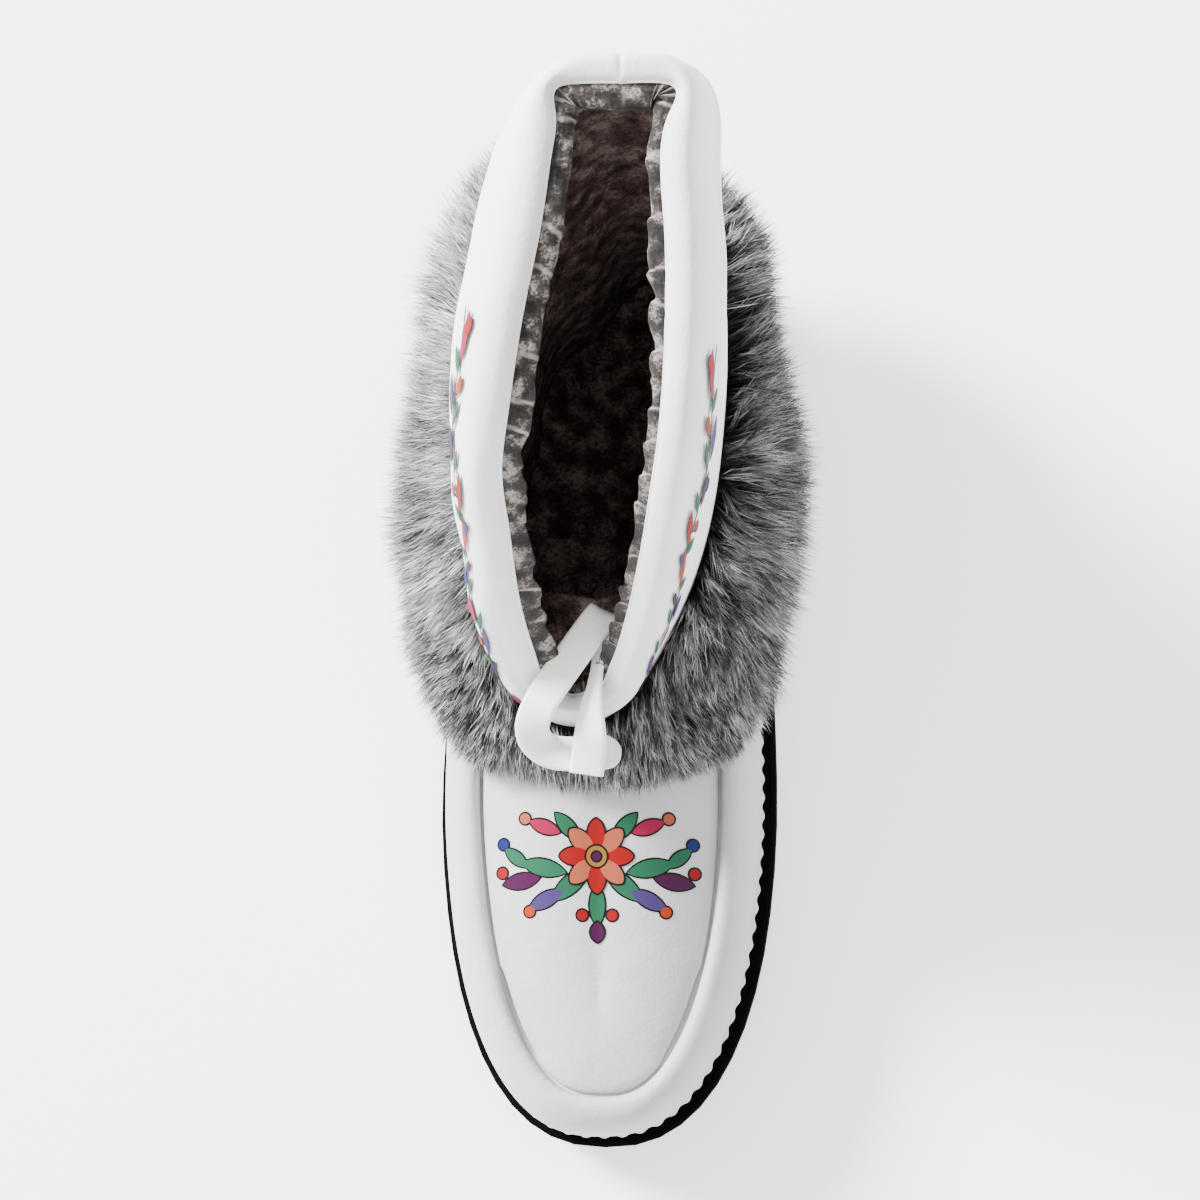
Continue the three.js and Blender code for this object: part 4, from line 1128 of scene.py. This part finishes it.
# %% Flower on the vamp
FLOWER, PETALS = np.array([-0.3, -57.0]), 8
SIDE_LEAVES = [
    (8, -8.5, -40, 15, 5.2, "green"), (16, -3.5, 12, 14, 5, "green"), (15.5, -13, -28, 12, 4.4, "lilac"),
    (23, -7.5, -10, 12, 4.6, "magenta"), (24.5, -0.5, 38, 9, 3.6, "green"),
    (8.5, 8.5, 48, 11, 4.2, "green"), (15.5, 8.5, 20, 10, 4.0, "pink"),
]
BERRIES = [(29, -5, "red"), (20.5, -16.5, "orange"), (28.5, 3.5, "blue"), (21.5, 11, "salmon"),
           (4.5, -17.5, "red")]
BERRY = 3.2
shapes = []
for side in (-1, 1):
    for dx, dy, turn, long, wide, ink in SIDE_LEAVES:
        angle = math.radians(turn if side > 0 else 180 - turn)
        shapes.append((FLOWER + [side * dx, dy], angle, long, wide, 0.7, ink, 0))
    for dx, dy, ink in BERRIES:
        shapes.append((FLOWER + [side * dx, dy], 0, BERRY, BERRY, 0, ink, 0))
shapes.append((FLOWER + [0, -14.5], math.pi / 2, 13, 4.6, 0.7, "green", 0))
shapes.append((FLOWER + [0, -22.5], math.pi / 2, 6, 4.2, 0.4, "magenta", 1))
for i in range(PETALS):
    angle = 2 * math.pi * i / PETALS
    petal = FLOWER + np.array([math.cos(angle), math.sin(angle)]) * 6.4
    shapes.append((petal, angle, 9.2, 5.2, 0.25, ("red", "salmon")[i % 2], 1))
shapes.append((FLOWER, 0, 6.2, 6.2, 0, "yellow", 2))
shapes.append((FLOWER, 0, 2.6, 2.6, 0, "magenta", 3))


def above_vamp(flat):
    over = last("ridge", flat[:, 1] + 20) + 6 - 12 * (flat[:, 0] / 36) ** 2
    return np.stack([flat[:, 0], flat[:, 1], over], -1)


print_on("flower_print", shapes, above_vamp, apron_leather, 0.55, 0.0, from_above=True)

# %% [markdown]
# A slender vine climbs each side of the shaft from the throat to the ankle, just under the roll of the
# rim. It is laid out along the rim: one number is the distance round the boot, the other how far below.

# %% Vines on the shaft
VINE_LENGTH, VINE_STEPS, VINE_WAVE = 150, 30, 0.62
VINES = [("vine_outer", 0.965, -1, 10.2), ("vine_inner", 1.035, 1, 12.2)]
BUDS = ("red", "magenta", "lilac", "pink", "blue", "orange")
ROLL_ROWS = ((0.3, 0.05), (0.62, 0.26), (0.9, 0.6), (1, 1))


def on_side(flat, from_turn, heading):
    """Points on the shaft's outside, from distances along the rim and down from it."""
    around = np.interp(from_turn, turns, rim_run) + heading * flat[:, 0]
    spots = shaft_columns(np.interp(around, rim_run, turns))
    profile = [shaft_ring(spots, spots["lean"] * out, spots["drop"] * down) for out, down in ROLL_ROWS]
    profile += [wall_ring(spots, share, 0) for share in (0.85, 0.7, 0.5)]
    fine_rows = rows_through(np.array(profile), 6)
    placed = []
    for j, depth in enumerate(flat[:, 1]):
        down = run_along(fine_rows[:, j])
        placed.append([np.interp(depth, down, fine_rows[:, j, axis]) for axis in range(3)])
    return np.array(placed)


for name, side_turn, heading, depth in VINES:
    shapes = []
    for i in range(VINE_STEPS):
        s = 4 + VINE_LENGTH * i / (VINE_STEPS - 1)
        h = depth + 1.6 * math.sin(i * VINE_WAVE)
        shapes.append(((s, h), 0.22 * math.cos(i * VINE_WAVE), 6.6, 0.5, 0.1, "green", 0))
        flip = 1 if i % 4 < 2 else -1
        if i % 3 == 0:
            shapes.append(((s + 5, h + flip * 1.9), flip * 0.14, 13, 3.2, 0.7, BUDS[(i // 3) % 6], 1))
            shapes.append(((s - 1, h - flip * 2.0), -flip * 0.42, 8.5, 2.2, 0.7, "green", 0))
        elif i % 3 == 1:
            shapes.append(((s + 2, h - 3.0 * flip), -0.3 * flip, 5.0, 3.0, 0.2, BUDS[(i // 3 + 3) % 6], 1))
            shapes.append(((s, h - 1.6 * flip), -0.9 * flip, 3.2, 0.45, 0.1, "green", 0))
    print_on(name, shapes, lambda flat: on_side(flat, side_turn, heading), shaft_leather, 0.22, 0.25)

# %% [markdown]
# The floor is plain and pale, and it glows a little, so that it stays near white under the boot's shadow.
# One large soft light from the upper left gives the leather its slow shading, and an even white sky keeps
# every shadow open.

# %% Floor and light
WHITE = (1, 1, 1, 1)
FLOOR_SIZE, FLOOR_GLOW, SKY_STRENGTH = 40, 1.2, 1.5
KEY_PLACE, KEY_SIZE, KEY_WATTS = (-2.6, 1.7, 2.2), 1.1, 680
AIM = Vector((0, 0, 0.08))
bpy.ops.object.select_all(action="DESELECT")
bpy.ops.mesh.primitive_plane_add(size=FLOOR_SIZE, location=(0, 0, 0))
floor = bpy.context.object
floor.name = "studio_floor"
glow = {"Emission_Color": WHITE, "Emission_Strength": FLOOR_GLOW}
PAPER, tree, shader, place = finish("pale_paper", Roughness=0.9, Base_Color=linear("#FAFAFA"), **glow)
floor.data.materials.append(PAPER)
lamp = bpy.data.lights.new("key_upper_left", "AREA")
lamp.shape = "DISK"
lamp.size = KEY_SIZE
lamp.energy = KEY_WATTS
key = bpy.data.objects.new("key_upper_left", lamp)
key.location = KEY_PLACE
key.rotation_euler = (AIM - Vector(KEY_PLACE)).to_track_quat("-Z", "Y").to_euler()
bpy.context.collection.objects.link(key)
sky = bpy.data.worlds.new("white_sky")
bpy.context.scene.world = sky
sky.use_nodes = True
backdrop = sky.node_tree.nodes["Background"]
backdrop.inputs["Color"].default_value = WHITE
backdrop.inputs["Strength"].default_value = SKY_STRENGTH
print("lights set")
